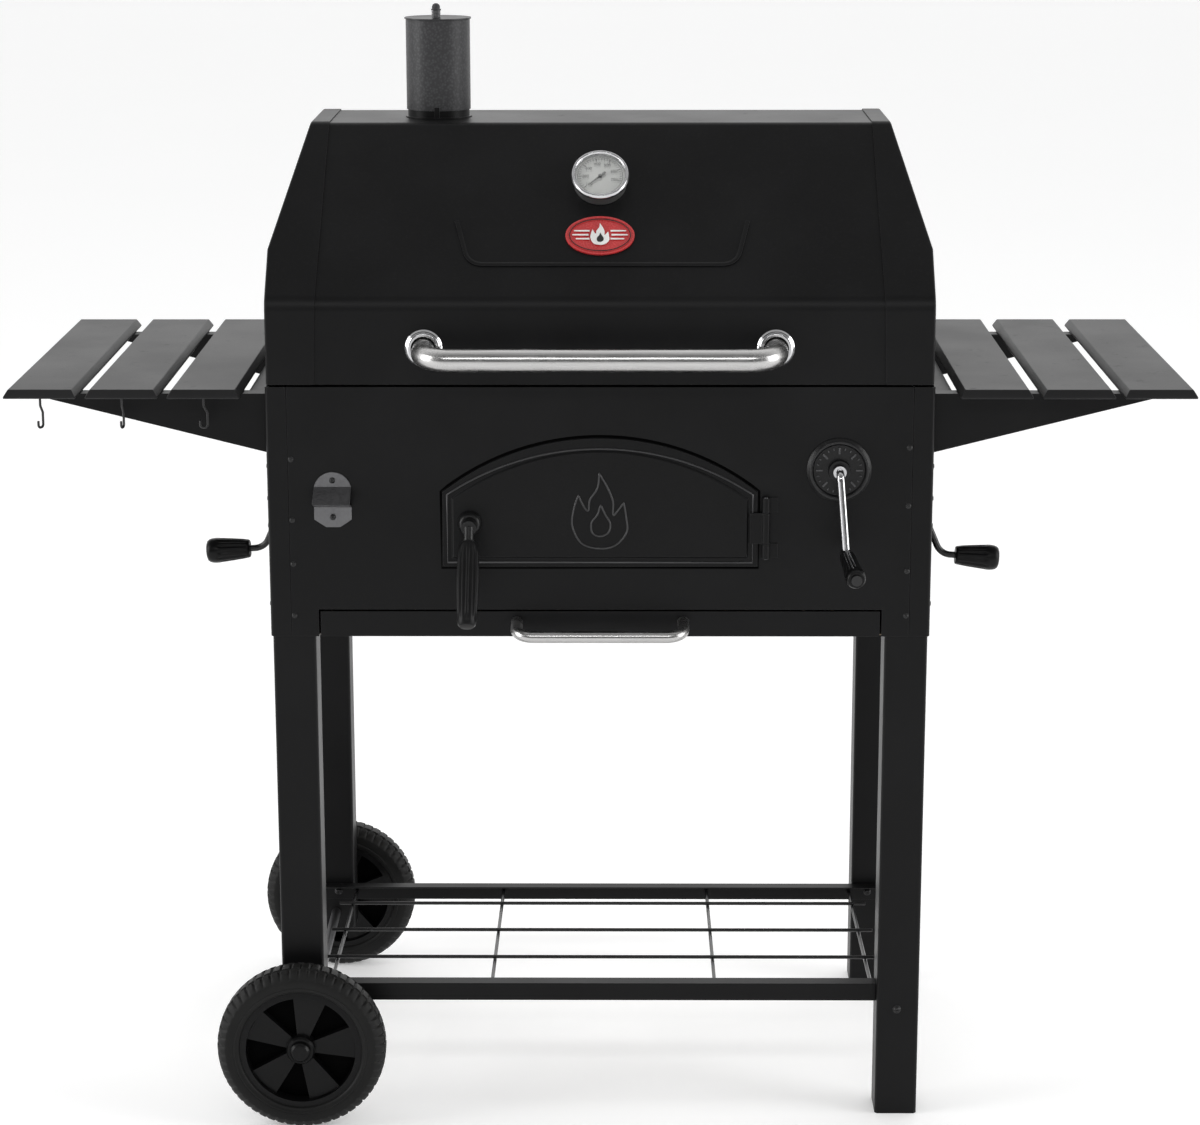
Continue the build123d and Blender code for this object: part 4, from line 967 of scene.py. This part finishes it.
def add_floor():
    """A wide pale floor."""
    shape = bmesh.new()
    reach, cells = 45.0, 6           # metres, squares
    bmesh.ops.create_grid(shape, x_segments=cells, y_segments=cells, size=reach)
    mesh = bpy.data.meshes.new("floor")
    shape.to_mesh(mesh)
    shape.free()
    floor = bpy.data.objects.new("floor", mesh)
    bpy.context.scene.collection.objects.link(floor)
    pale = Shader("floor_pale", (0.9, 0.9, 0.9), roughness=0.6, specular_ior_level=0.2,
                  emission_color=(1.0, 1.0, 1.0, 1.0), emission_strength=0.22)
    pale.tint(pale.mix(pale.noise(0.8, 3.0), (0.89, 0.89, 0.89), (0.91, 0.91, 0.91)))
    mesh.materials.append(pale.material)


# Edge radius, in mm, of each piece that keeps its CAD shape.
ROUNDED = {
    "front_panel": 0.4, "back_panel": 0.4, "side_panel_left": 0.5, "side_panel_right": 0.5,
    "grate_ledges": 0.5, "cooking_grates": 1.2, "drawer_runners": 0.4,
    "leg_front_left": 1.6, "leg_front_right": 1.6, "leg_rear_left": 1.6, "leg_rear_right": 1.6,
    "leg_caps": 0.8, "axle": 0.5, "axle_caps": 0.6, "rack_rails": 0.8, "rack_long_wires": 0.4,
    "rack_cross_wires": 0.4, "shelf_slats_left": 0.9, "shelf_slats_right": 0.9, "shelf_brackets": 0.5,
    "tool_hooks": 0.3, "bottle_opener": 0.35, "crank_dial": 0.5, "lift_guides": 0.4,
    "door_hinge_knuckles": 0.5, "lid_hinge_body_leaves": 0.4, "hinge_pins": 0.4,
    "lid_shell": 0.5, "lid_end_left": 0.5, "lid_end_right": 0.5, "lid_handle": 0.3,
    "handle_rosettes": 0.5, "lid_badge": 0.3,
    "thermometer_dial": 0.1, "thermometer_lens": 0.2, "lid_hinge_lid_leaves": 0.4,
    "thermometer_needle": 0.1, "stack_damper": 0.3,
    "door_panel": 0.9, "latch_boss": 0.6, "latch_handle": 0.8,
    "charcoal_tray": 0.5, "lift_shaft": 0.15,
    "ash_pan": 0.5, "ash_pan_front": 0.6, "ash_pan_handle": 0.3,
    "side_damper_left": 0.4, "side_damper_right": 0.4,
}

add_camera()
add_world()
add_lights()
add_floor()
bpy.context.scene.view_settings.view_transform = "Standard"

for node, width in ROUNDED.items():
    refine(node, width)
wheels()
grips()
screw_heads()
lid_emboss()
badge_detail()
dial_marks()
flue_spring()
crank_dial_ring()
door_detail()
crank_arm()
smokestack()
thermometer_case()
